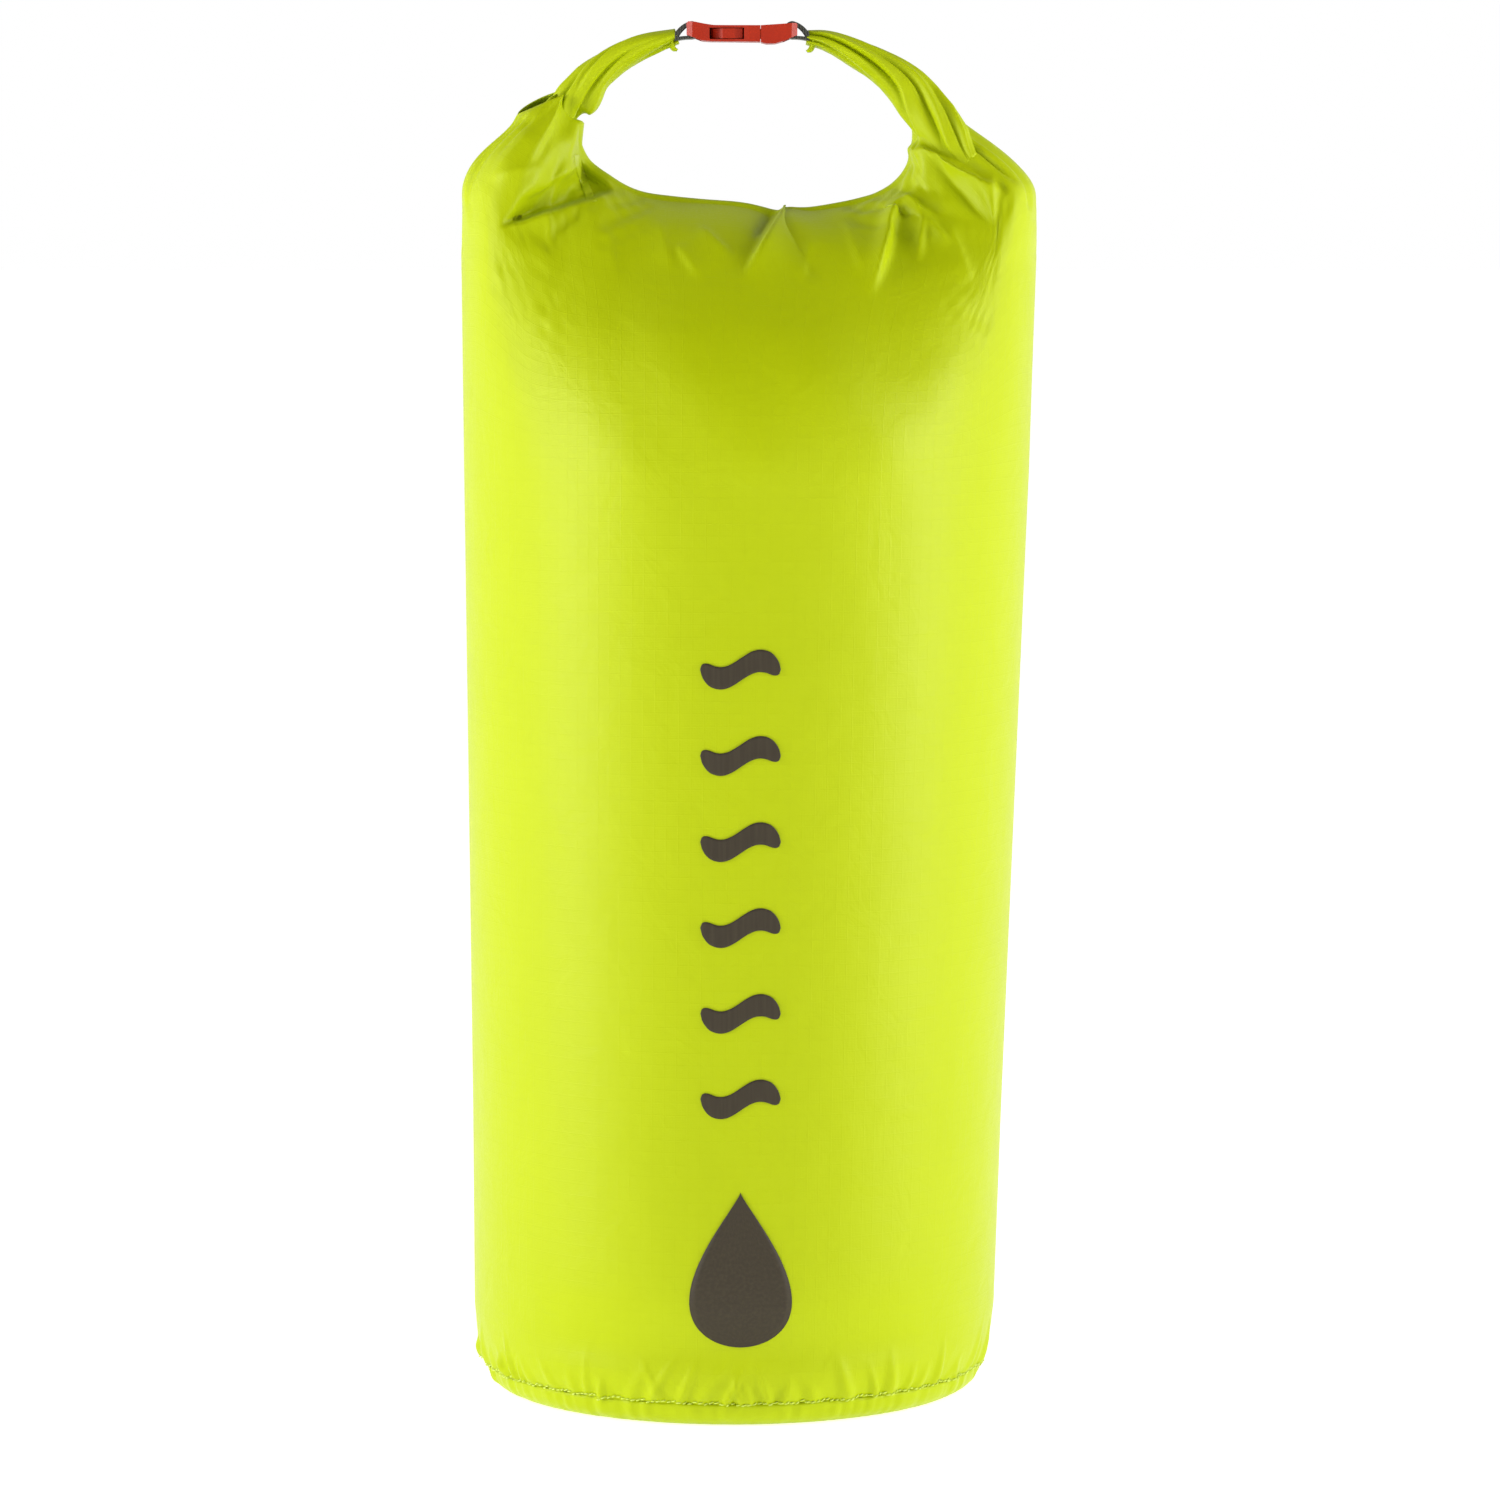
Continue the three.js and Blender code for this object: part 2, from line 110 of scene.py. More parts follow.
def smooth_curve(points, steps=12):
    """A Catmull-Rom curve through the points."""
    points = np.array(points, float)
    ends = np.vstack([2 * points[0] - points[1], points, 2 * points[-1] - points[-2]])
    curve = []
    for p0, p1, p2, p3 in zip(ends, ends[1:], ends[2:], ends[3:]):
        for t in np.arange(steps) / steps:
            bend = (2 * p0 - 5 * p1 + 4 * p2 - p3) * t**2 + (-p0 + 3 * p1 - 3 * p2 + p3) * t**3
            curve.append(0.5 * (2 * p1 + (p2 - p0) * t + bend))
    curve.append(points[-1])
    return np.array(curve)


def unit(vector):
    return vector / np.linalg.norm(vector)


def lengths_along(curve):
    return np.concatenate([[0], np.cumsum(np.linalg.norm(np.diff(curve, axis=0), axis=1))])


def roll_table():
    """The roll's middle line, with its place on the flat panel: 0 at x = 0."""
    curve = smooth_curve(ROLL_LINE)
    along = lengths_along(curve)
    low = curve[:, 1] < 0.51
    along -= np.interp(0, curve[low, 0], along[low])
    flat = np.where(along < 0, along / -along[0] * LEFT_THROAT_FLAT, along / along[-1] * RIGHT_THROAT_FLAT)
    return flat, curve


ROLL_FLAT, ROLL_CURVE = roll_table()


def curve_point(at, places, curve):
    """A curve's point at a place, and its normal to the left of its direction, in X and Z."""
    reach = 0.02 * (places[-1] - places[0])
    low, middle, high = (np.array([np.interp(place, places, curve[:, i]) for i in (0, 1)])
                         for place in (max(at - reach, places[0]), at, min(at + reach, places[-1])))
    along = unit(high - low)
    return middle, np.array([-along[1], along[0]])


# ---- Meshes ----


def new_object(name, data):
    piece = bpy.data.objects.new(name, data)
    bpy.context.collection.objects.link(piece)
    return piece


def grid_piece(name, grid, rows_at, columns_at, materials=(), closed=False, caps=()):
    """A mesh from a grid of points, with a UV map that gives its place on the flat cloth in metres.
    A closed grid joins its last column to its first, and columns_at then has one number more.
    caps are the rows of a closed grid that one flat face fills: 0 for the first, -1 for the last."""
    rows, columns = grid.shape[:2]
    row, column = np.meshgrid(np.arange(rows - 1), np.arange(columns if closed else columns - 1),
                              indexing="ij")
    row, column = row.ravel(), column.ravel()
    after = (column + 1) % columns
    faces = np.stack([row * columns + column, row * columns + after,
                      (row + 1) * columns + after, (row + 1) * columns + column], axis=1)
    ring = np.arange(columns)
    ends = [ring[::-1] if cap == 0 else ring + (rows - 1) * columns for cap in caps]
    mesh = bpy.data.meshes.new(name)
    mesh.from_pydata(grid.reshape(-1, 3).tolist(), [], faces.tolist() + [end.tolist() for end in ends])
    rows_at, columns_at = np.asarray(rows_at), np.asarray(columns_at)
    across = np.stack([columns_at[column], columns_at[column + 1]] * 2, axis=1)[:, [0, 1, 3, 2]]
    up = np.stack([rows_at[row], rows_at[row], rows_at[row + 1], rows_at[row + 1]], axis=1)
    uv = np.stack([across, up], axis=2).reshape(-1, 2)
    for cap in caps:
        uv = np.vstack([uv, np.column_stack([columns_at[:-1], np.full(columns, rows_at[cap])])])
    mesh.uv_layers.new(name="flat").data.foreach_set("uv", uv.ravel())
    mesh.shade_smooth()
    for material in materials:
        mesh.materials.append(material)
    return new_object(name, mesh)


def grid_normals(grid):
    """Outward normals of a closed grid whose columns run anticlockwise and whose rows run up."""
    across = np.roll(grid, -1, axis=1) - np.roll(grid, 1, axis=1)
    normals = np.cross(across, np.gradient(grid, axis=0))
    return normals / np.maximum(np.linalg.norm(normals, axis=2, keepdims=True), 1e-9)


def twice_as_fine(values, axis, closed):
    """Cubic midpoints between a grid's rows or columns."""
    values = np.moveaxis(values, axis, 0)
    if closed:
        before, after, second = (np.roll(values, k, axis=0) for k in (1, -1, -2))
        here = values
    else:
        ends = np.concatenate([[2 * values[0] - values[1]], values, [2 * values[-1] - values[-2]]])
        before, here, after, second = ends[:-3], ends[1:-2], ends[2:-1], ends[3:]
    middles = (9 * (here + after) - before - second) / 16
    fine = np.empty((len(values) + len(middles),) + values.shape[1:])
    fine[0::2] = values
    fine[1::2] = middles
    return np.moveaxis(fine, 0, axis)


def thicken(piece, thickness, offset=-1.0, inner_material=0):
    """Gives a sheet its thickness. At offset -1 its outer face stays where it is."""
    solid = piece.modifiers.new("thickness", "SOLIDIFY")
    solid.thickness = thickness
    solid.offset = offset
    solid.material_offset = inner_material
    solid.use_even_offset = False
    apply_modifiers(piece)


def apply_modifiers(piece):
    """Replaces a piece's mesh by what its modifiers make of it."""
    evaluated = piece.evaluated_get(bpy.context.evaluated_depsgraph_get())
    mesh = bpy.data.meshes.new_from_object(evaluated)
    old = piece.data
    piece.modifiers.clear()
    piece.data = mesh
    bpy.data.meshes.remove(old)


# ---- Materials ----


def new_material(name, **constants):
    """A material whose Principled shader takes the constants, with underscores for spaces, and its
    node tree."""
    material = bpy.data.materials.new(name)
    material.use_nodes = True
    principled = material.node_tree.nodes["Principled BSDF"]
    for socket, value in constants.items():
        principled.inputs[socket.replace("_", " ")].default_value = value
    return material, material.node_tree


def covered(material, **outputs):
    """The material, with nodes' outputs linked to its Principled shader."""
    tree = material.node_tree
    for socket, output in outputs.items():
        tree.links.new(output, tree.nodes["Principled BSDF"].inputs[socket.replace("_", " ")])
    return material


def add_node(tree, kind, inputs=(), **settings):
    """A node with its settings. inputs maps sockets to values or to other nodes' outputs."""
    node = tree.nodes.new("ShaderNode" + kind)
    for key, value in settings.items():
        setattr(node, key, value)
    for socket, value in dict(inputs).items():
        if isinstance(value, bpy.types.NodeSocket):
            tree.links.new(value, node.inputs[socket])
        else:
            node.inputs[socket].default_value = value
    return node


def add_bump(tree, height, distance, strength=1.0, before=None):
    inputs = {"Height": height, "Distance": distance, "Strength": strength}
    if before is not None:
        inputs["Normal"] = before
    return add_node(tree, "Bump", inputs).outputs["Normal"]


def noise(tree, place, scale, detail=2.0, distortion=0.0):
    return add_node(tree, "TexNoise", {"Vector": place, "Scale": scale, "Detail": detail,
                                       "Distortion": distortion}).outputs["Fac"]


def spread(tree, value, low, high, first, second):
    """A value's range from low to high, spread over first to second."""
    return add_node(tree, "MapRange", {"Value": value, 1: low, 2: high, 3: first, 4: second}).outputs[0]


def maths(tree, operation, *values):
    return add_node(tree, "Math", dict(enumerate(values)), operation=operation).outputs[0]


def flat_place(tree):
    return add_node(tree, "UVMap", uv_map="flat").outputs["UV"]


def blend_colours(tree, factor, first, second):
    mixed = add_node(tree, "Mix", {0: factor, 6: first, 7: second}, data_type="RGBA")
    return mixed.outputs[2]


def ridged(tree, coordinate, period):
    """0 to 1 and back over each period of a coordinate."""
    return maths(tree, "MULTIPLY", maths(tree, "PINGPONG", coordinate, period / 2), 2 / period)


def coated_nylon(name, colour, shade, roughness, sheen, relief=1.0):
    """Fine plain weave with a heavier thread every few millimetres, under a satin coating."""
    material, tree = new_material(name, Sheen_Weight=sheen, Sheen_Roughness=0.3,
                                  Specular_IOR_Level=0.16)
    flat = flat_place(tree)
    split = add_node(tree, "SeparateXYZ", {"Vector": flat})
    across, up = split.outputs["X"], split.outputs["Y"]
    thread, grid_pitch = 0.0007, 0.0052
    weave = maths(tree, "MULTIPLY", ridged(tree, across, thread), ridged(tree, up, thread))
    heavy = maths(tree, "MAXIMUM", ridged(tree, across, grid_pitch), ridged(tree, up, grid_pitch))
    lines = spread(tree, heavy, 0.86, 1.0, 0.0, 1.0)
    grain = noise(tree, flat, 900.0)
    wrinkle = noise(tree, flat, 55.0, 4.0, 0.6)

    tone = spread(tree, noise(tree, flat, 14.0, 3.0), 0.3, 0.7, 0.0, 0.35)
    body = blend_colours(tree, tone, colour, shade)
    line_share = maths(tree, "MULTIPLY", lines, 0.10)
    normal = add_bump(tree, wrinkle, 0.0016, 0.35 * relief)
    normal = add_bump(tree, weave, 0.00005, 0.5 * relief, normal)
    return covered(material, Base_Color=blend_colours(tree, line_share, body, shade),
                   Roughness=spread(tree, grain, 0.3, 0.7, roughness - 0.05, roughness + 0.06),
                   Normal=add_bump(tree, lines, 0.00006, 0.5 * relief, normal))


def moulded_plastic(name, colour, shade, roughness):
    """Fine spark-eroded grain, with a slightly darker flow mottle."""
    material, tree = new_material(name, Specular_IOR_Level=0.25)
    place = add_node(tree, "TexCoord").outputs["Object"]
    grain = noise(tree, place, 2600.0, 3.0)
    tone = spread(tree, noise(tree, place, 90.0), 0.35, 0.65, 0.0, 0.4)
    return covered(material, Base_Color=blend_colours(tree, tone, colour, shade),
                   Roughness=spread(tree, grain, 0.3, 0.7, roughness - 0.06, roughness + 0.08),
                   Normal=add_bump(tree, grain, 0.00008, 0.35))


def woven_webbing(name, colour, shade):
    """A fine slanted weave, with a little fuzz. Its hollows are coloured darker than its tops: painted
    shade.
    """
    material, tree = new_material(name, Sheen_Weight=0.3, Sheen_Roughness=0.5, Roughness=0.8)
    place = add_node(tree, "TexCoord").outputs["Object"]
    split = add_node(tree, "SeparateXYZ", {"Vector": place})
    x, y = split.outputs["X"], split.outputs["Y"]
    slanted, crossed = maths(tree, "ADD", x, y), maths(tree, "SUBTRACT", x, y)
    yarn = 0.0011
    ribs = maths(tree, "MULTIPLY", ridged(tree, slanted, yarn), ridged(tree, crossed, yarn))
    normal = add_bump(tree, ribs, 0.00025, 0.8)
    # Darker where the weave dips: painted shade in its hollows.
    return covered(material, Base_Color=blend_colours(tree, ribs, shade, colour),
                   Normal=add_bump(tree, noise(tree, place, 3000.0), 0.0001, 0.4, normal))


def sewing_thread(name, colour, shade):
    """Thread with its plies as fine slanted bands, coloured darker in the grooves between them: painted
    shade.
    """
    material, tree = new_material(name, Sheen_Weight=0.2, Roughness=0.55)
    place = add_node(tree, "TexCoord").outputs["Object"]
    plies = add_node(tree, "TexWave", {"Vector": place, "Scale": 700.0, "Distortion": 1.0},
                     bands_direction="DIAGONAL").outputs["Fac"]
    # Darker in the grooves between the plies: painted shade.
    return covered(material, Base_Color=blend_colours(tree, plies, shade, colour),
                   Normal=add_bump(tree, plies, 0.00006, 0.6))


def heat_sealed_tape(name, colour, shade):
    """Smooth film with a faint mottle."""
    material, tree = new_material(name, Specular_IOR_Level=0.5)
    mottle = noise(tree, flat_place(tree), 160.0, 3.0)
    return covered(material, Base_Color=blend_colours(tree, mottle, colour, shade),
                   Roughness=spread(tree, mottle, 0.3, 0.7, 0.28, 0.42),
                   Normal=add_bump(tree, mottle, 0.0003, 0.4))


def screen_print(name, colour, shade):
    """Matt ink with a fine speckle."""
    material, tree = new_material(name, Specular_IOR_Level=0.2)
    speckle = noise(tree, flat_place(tree), 700.0, 3.0)
    tone = spread(tree, speckle, 0.4, 0.75, 0.0, 1.0)
    return covered(material, Base_Color=blend_colours(tree, tone, colour, shade),
                   Roughness=spread(tree, speckle, 0.3, 0.7, 0.5, 0.62),
                   Normal=add_bump(tree, speckle, 0.00005, 0.5))


LIME = (0.415, 0.500, 0.0002, 1)
LIME_SHADE = (0.385, 0.470, 0.0002, 1)
lime_cloth = coated_nylon("lime_nylon", LIME, LIME_SHADE, roughness=0.42, sheen=0.05)
rope_cloth = coated_nylon("lime_nylon_gathered", LIME, LIME_SHADE, roughness=0.5, sheen=0.0, relief=0.25)
inside_cloth = coated_nylon("lime_nylon_inside", (0.42, 0.52, 0.03, 1), (0.36, 0.46, 0.02, 1),
                            roughness=0.36, sheen=0.0)
shown_tape = heat_sealed_tape("seam_tape_outside", (0.47, 0.56, 0.01, 1), (0.42, 0.51, 0.005, 1))
seam_tape = heat_sealed_tape("seam_tape", (0.60, 0.68, 0.12, 1), (0.50, 0.58, 0.06, 1))
orange_plastic = moulded_plastic("orange_plastic", (0.37, 0.018, 0.0015, 1), (0.30, 0.012, 0.0015, 1),
                                 roughness=0.38)
# The second colour is painted shade for the weave's hollows.
grey_webbing = woven_webbing("grey_webbing", (0.075, 0.077, 0.060, 1), (0.020, 0.021, 0.016, 1))
# The second colour is painted shade for the grooves between the plies.
lime_thread = sewing_thread("lime_thread", (0.66, 0.78, 0.10, 1), (0.42, 0.54, 0.02, 1))
dark_ink = screen_print("dark_ink", (0.040, 0.031, 0.019, 1), (0.052, 0.041, 0.025, 1))


# ---- The body panel ----

turn = np.arange(COLUMNS) / COLUMNS  # 0 at the left side line, 0.25 front, 0.5 right, 0.75 back
on_front = turn < 2 * FRONT_TURN
flat_at = np.where(on_front, 4 * turn - 1, 3 - 4 * turn) * FLAT_HALF
from_middle = np.abs(flat_at)
on_right = flat_at > 0
throat_at = np.where(on_right, RIGHT_THROAT_FLAT, LEFT_THROAT_FLAT)
angle_at = math.pi + 2 * math.pi * turn


def panel_heights():
    """Rows on the flat panel: close at the foot, wide up the wall, close in the shoulders."""
    fine = 0.0052
    foot = np.arange(BASE_SEAM_Z, 0.038, 0.005)
    wall = np.linspace(0.040, 0.330, 25)[:-1]
    shoulder = np.arange(0.330, TOP_HEIGHT + fine / 2, fine)
    return np.concatenate([foot, wall, shoulder])


def wall_radius(height):
    return FOOT_RADIUS + (CHEST_RADIUS - FOOT_RADIUS) * np.clip((height - 0.01) / 0.35, 0, 1)


def spare_width(height):
    """How much wider the cloth is cut at each column than its place, so that it falls into folds
    there. The ears are cut narrower at their outer ends, where they are gathered."""
    gathered = np.where(on_right, 0.30, 0.58)
    shrink = gathered * smoothstep(-0.02, 0.01, from_middle - throat_at)
    width = 1 - shrink * smoothstep(0.46, 0.55, height)
    for flat, half_width, spare, start, drift in (
        (0.019, 0.007, 1.3, 0.475, 0.25),
        (0.078, 0.008, 0.9, 0.470, 0.10),
        (0.096, 0.008, 0.9, 0.475, -0.15),
        (-0.086, 0.009, 0.6, 0.480, 0.0),
    ):
        middle = flat - drift * (TOP_HEIGHT - height)
        fold = spare * bump(middle, half_width, flat_at) * smoothstep(start, TOP_HEIGHT, height)
        width = width + np.where(on_front, fold, 0)
    return width


def relaxed_panel(heights):
    """The panel as cut and sewn, before it is closed: a plain tube, a little taller at its sides."""
    rest = np.zeros((len(heights), COLUMNS, 3))
    taller = 0.008 * smoothstep(0.10, 0.17, from_middle)
    for i, height in enumerate(heights):
        width = spare_width(height)
        pieces = 0.5 * (width + np.roll(width, -1))
        radius = wall_radius(height) * pieces.sum() / COLUMNS
        angles = math.pi + 2 * math.pi * np.concatenate([[0], np.cumsum(pieces)[:-1]]) / pieces.sum()
        rest[i, :, 0] = radius * np.cos(angles)
        rest[i, :, 1] = radius * np.sin(angles)
        rest[i, :, 2] = height + taller * smoothstep(0.38, 0.50, height)
    return rest


def roll_swell(flat):
    """The roll's size at a place along it, as a share of its size in the middle."""
    return np.interp(flat, [-0.108, -0.100, -0.093, -0.085, -0.078, -0.062, 0.062, 0.085, 0.105, 0.122],
                     [0.30, 0.85, 1.40, 0.85, 0.9, 1.0, 1.0, 1.15, 1.25, 1.0])


def roll_point(flat, angle, grow=0.0):
    """A point on the roll. The angle is 0 on its top, and grows towards the front."""
    centre, inward = curve_point(flat, ROLL_FLAT, ROLL_CURVE)
    swell = roll_swell(flat)
    x, z = centre + inward * (ROLL_HALF_HEIGHT * swell + grow) * math.cos(angle)
    # The left ear comes forward, and leaves a pocket between itself and the front's ridge.
    back = 0.006 * bump(-0.076, 0.018, flat) - 0.004 * bump(-0.108, 0.020, flat)
    return [x, back - (ROLL_HALF_DEPTH * swell + grow) * math.sin(angle), z]


def throat_point(side, front, share):
    """A point on the ring where an ear is gathered round its rope. share is 0 at the inside."""
    if side < 0:
        centre, inward = np.array([-0.0841, 0.5493]), np.array([0.92, 0.385])
        half_width, half_depth, forward = 0.0120, 0.0060, 0.004
    else:
        centre, inward = curve_point(RIGHT_THROAT_FLAT, ROLL_FLAT, ROLL_CURVE)
        half_width, half_depth, forward = 0.0086, 0.0070, 0
    first = math.radians(30 if side < 0 else 50)
    angle = first + (math.pi - first) * share
    x, z = centre + inward * half_width * math.cos(angle)
    y = half_depth * math.sin(angle)
    if side < 0 and not front:
        z += 0.0030 * math.sin(angle)
    return [x, (-y if front else y) - forward, z]


def closed_edge():
    """Where the panel's top row is held: along the roll, and round the throat of each ear."""
    points = []
    for flat, throat, front in zip(flat_at, throat_at, on_front):
        side = 1 if flat > 0 else -1
        if abs(flat) <= throat:
            points.append(roll_point(flat, ROLL_PIN_ANGLE if front else math.pi - ROLL_PIN_ANGLE))
        else:
            points.append(throat_point(side, front, (abs(flat) - throat) / (FLAT_HALF - throat)))
    return np.array(points)


def started_panel(heights, edge):
    """A smooth first shape between the base seam and the closed edge, for the simulation."""
    start = np.zeros((len(heights), COLUMNS, 3))
    outward = np.stack([np.cos(angle_at), np.sin(angle_at)], axis=1)
    for i, height in enumerate(heights):
        foot = smoothstep(0.01, 0.06, height)
        radius = BASE_SEAM_RADIUS + (wall_radius(height) - BASE_SEAM_RADIUS) * foot
        start[i, :, :2] = radius * outward
        start[i, :, 0] += LEAN
        start[i, :, 2] = height
    low = np.column_stack([wall_radius(SHOULDER_HEIGHT) * outward, np.full(COLUMNS, SHOULDER_HEIGHT)])
    low[:, 0] += LEAN
    corner = low.copy()
    corner[:, 2] = 0.470 + 0.045 * smoothstep(0.09, 0.15, from_middle)
    for i, height in enumerate(heights):
        t = (height - SHOULDER_HEIGHT) / (TOP_HEIGHT - SHOULDER_HEIGHT)
        if t > 0:
            start[i] = (1 - t) ** 2 * low + 2 * t * (1 - t) * corner + t * t * edge
    random = np.random.default_rng(5)
    wobble = np.zeros((len(heights), COLUMNS))
    for _ in range(14):
        waves = random.integers(2, 16)
        rate = random.uniform(20, 90)
        phase = random.uniform(0, 6.28, 2)
        round_it = np.sin(2 * math.pi * waves * turn + phase[0])
        wobble += np.outer(np.sin(rate * heights + phase[1]), round_it)
    shoulders = smoothstep(0.36, 0.45, heights)[:, None]
    start[:, :, 1] += 0.0005 * wobble * np.sign(np.sin(angle_at)) * shoulders
    start[0] = start[0] * [1, 1, 0] + [0, 0, heights[0]]
    start[-1] = edge
    return start


CLOTH_SETTINGS = {
    "quality": 5, "mass": 0.001, "air_damping": 1, "pin_stiffness": 1,
    "tension_stiffness": 40, "compression_stiffness": 40, "shear_stiffness": 10, "bending_stiffness": 0.6,
    "tension_damping": 5, "compression_damping": 5, "shear_damping": 5, "bending_damping": 0.5,
    "use_pressure": True, "uniform_pressure_force": 60,
}


def filled_panel(heights, frames):
    """The panel after a cloth simulation under inner pressure, as a grid of points."""
    rest = relaxed_panel(heights)
    start = started_panel(heights, closed_edge())
    rows = len(heights)
    piece = grid_piece("filling", start, heights, np.arange(COLUMNS + 1), closed=True)
    piece.shape_key_add(name="Basis")
    relaxed = piece.shape_key_add(name="rest")
    relaxed.data.foreach_set("co", rest.ravel())
    relaxed.value = 0
    held = piece.vertex_groups.new(name="held")
    held.add(list(range(COLUMNS)) + list(range((rows - 1) * COLUMNS, rows * COLUMNS)), 1, "REPLACE")
    pushed = piece.vertex_groups.new(name="pushed")
    for i, height in enumerate(heights):
        in_ear = 0.85 * smoothstep(0.485, 0.525, height) * smoothstep(EAR_FLAT, 0.11, from_middle)
        for j in range(COLUMNS):
            pushed.add([i * COLUMNS + j], float(1 - in_ear[j]), "REPLACE")

    modifier = piece.modifiers.new("cloth", "CLOTH")
    cloth = modifier.settings
    for setting, value in CLOTH_SETTINGS.items():
        setattr(cloth, setting, value)
    cloth.vertex_group_mass = "held"
    cloth.vertex_group_pressure = "pushed"
    cloth.rest_shape_key = relaxed
    cloth.effector_weights.gravity = 0
    modifier.collision_settings.use_collision = False
    modifier.collision_settings.use_self_collision = False
    modifier.point_cache.frame_start = 1
    modifier.point_cache.frame_end = frames
    scene = bpy.context.scene
    scene.frame_start = 1
    scene.frame_end = frames
    for number in range(1, frames + 1):
        scene.frame_set(number)
    apply_modifiers(piece)
    points = np.empty(rows * COLUMNS * 3)
    piece.data.vertices.foreach_get("co", points)
    mesh = piece.data
    bpy.data.objects.remove(piece)
    bpy.data.meshes.remove(mesh)
    scene.frame_set(1)
    return points.reshape(rows, COLUMNS, 3)


def puckered(grid, heights, turns):
    """Adds the small slanted folds that the base seam's thread draws up."""
    random = np.random.default_rng(11)
    depth = np.zeros(grid.shape[:2])
    foot = heights < 0.045
    rise_at = (heights[foot] - BASE_SEAM_Z)[:, None]
    place = 0.0
    while place < 1:
        half_width = random.uniform(0.0032, 0.0072)
        reach = random.uniform(0.010, 0.030)
        slant = random.uniform(-0.5, 0.8)
        size = random.uniform(0.0007, 0.0022)
        across = ((turns[None, :] - place + 0.5) % 1 - 0.5) * CIRCUMFERENCE - slant * rise_at
        rise = rise_at / reach
        fold = bump(0, 1, across / (half_width * (1 - 0.6 * np.clip(rise, 0, 1))))
        depth[foot] += size * fold * (1 - smoothstep(0.1, 1, rise)) * smoothstep(-0.05, 0.12, rise)
        place += (half_width * random.uniform(1.1, 2.6)) / CIRCUMFERENCE
    return grid + grid_normals(grid) * depth[:, :, None]


# Folds of the filled shoulders, as seen from the front, in millimetres: from one point to another in
# X and Z, how far the cloth stands out, and its half width on the left and on the right of the line.
FRONT_FOLDS = [
    ((18.5, 504), (2, 478), 5.4, 1.2, 12),
    ((12, 502), (6, 493), -2, 3, 1.2),
    ((-16, 496), (-4, 485), 1.4, 3.5, 1.4),
    ((-26, 488), (-17, 476), 1.3, 1.2, 4),
    ((-34, 498), (-29, 480), 1, 5, 1.6),
    ((-56, 494), (-52, 476), 0.8, 5, 2),
    ((30, 490), (24, 474), 0.9, 4, 2),
    ((44, 496), (50, 478), 1.2, 1.6, 6),
    ((66, 504), (54.5, 472), 6.2, 6, 1.3),
    ((70, 509), (77.5, 501), 4.2, 6, 1.2),
    ((77.5, 501), (74, 484), 2.8, 5, 1.2),
    ((79, 500), (87, 490), 2.2, 4, 1.2),
    ((76, 530), (109, 511), 6.6, 8, 1.4),
    ((82, 524), (104, 498), -3.4, 3, 4),
    ((96, 533), (117, 516), -3, 2, 1.6),
    ((106, 516), (106, 493), 2.6, 10, 1.4),
    ((88, 496), (96, 474), 1.6, 6, 2),
    ((-90, 536), (-105, 518), 1.6, 4, 6),
    ((-86, 522), (-106, 518), 1.4, 3, 5),
    ((-73, 521.5), (-93, 509.5), 2.8, 5, 1.8),
]
BACK_FOLDS = [
    ((20, 493), (32, 464), 3.4, 1.2, 10),
    ((-30, 490), (-24, 470), 1.6, 5, 1.4),
    ((-56, 494), (-44, 462), 3.6, 7, 1.4),
    ((-70, 505), (-74, 476), 2.6, 1.6, 7),
    ((62, 498), (56, 470), 3.2, 1.4, 8),
    ((82, 518), (100, 490), 3.4, 8, 1.4),
    ((-88, 526), (-105, 498), 3, 1.4, 7),
]
# The hollow between the left ear and the front's ridge, in X and Z: the ridge that passes in front of
# it, and the ear's edge. It is deepest behind the ridge and runs out towards its top.
POCKET_RIDGE = [(-0.0925, 0.4990), (-0.0700, 0.5062)]
POCKET_EAR = [(-0.0810, 0.5310), (-0.0945, 0.5100)]
POCKET_INSIDE = [(-0.0560, 0.5080), (-0.0700, 0.5310)]
POCKET_HEIGHT = 0.030
POCKET_DEPTH = 0.016


def line_frame(x, z, start, end):
    """How far along a line each point is, as a share, and how far to its left, in metres."""
    (x0, z0), (x1, z1) = start, end
    length = math.hypot(x1 - x0, z1 - z0)
    along_x, along_z = (x1 - x0) / length, (z1 - z0) / length
    along = ((x - x0) * along_x + (z - z0) * along_z) / length
    left = (z - z0) * along_x - (x - x0) * along_z
    return along, left


def creased(grid, folds, front):
    """Adds the folds to the front or to the back of the panel."""
    normals = grid_normals(grid)
    x, z = grid[:, :, 0], grid[:, :, 2]
    side = (normals[:, :, 1] < 0.25) & (grid[:, :, 1] < 0.003) if front else normals[:, :, 1] > 0.05
    out = np.zeros(x.shape)
    for fold in folds:
        start, end, height, left_width, right_width = (np.array(value) / 1000 for value in fold)
        along, left = line_frame(x, z, start, end)
        # Downwards, the line's own left is the viewer's right.
        width = np.where(left > 0, right_width, left_width)
        crest = np.exp(-np.abs(left / width) ** 1.25)
        out += height * crest * smoothstep(-0.25, 0.15, along) * (1 - smoothstep(0.55, 1.15, along))
    return grid + normals * np.where(side, out, 0)[:, :, None]


def with_pocket(grid, edge_row):
    """Sinks the hollow beside the left ear, whose edges are sharp towards the ear and the ridge."""
    x, z = grid[:, :, 0], grid[:, :, 2]
    _, above_ridge = line_frame(x, z, *POCKET_RIDGE)
    _, beside_ear = line_frame(x, z, *POCKET_EAR)
    _, inside_roll = line_frame(x, z, *POCKET_INSIDE)
    share = smoothstep(0, 0.0028, above_ridge) * np.clip(1 - above_ridge / POCKET_HEIGHT, 0, 1)
    share = share * smoothstep(0, 0.0085, beside_ear) * smoothstep(-0.006, 0.004, inside_roll)
    rows = np.arange(len(grid))[:, None]
    share = share * (1 - smoothstep(edge_row - 6, edge_row, rows)) * (grid[:, :, 1] < 0)
    sunk = grid.copy()
    sunk[:, :, 1] += POCKET_DEPTH * share
    return sunk


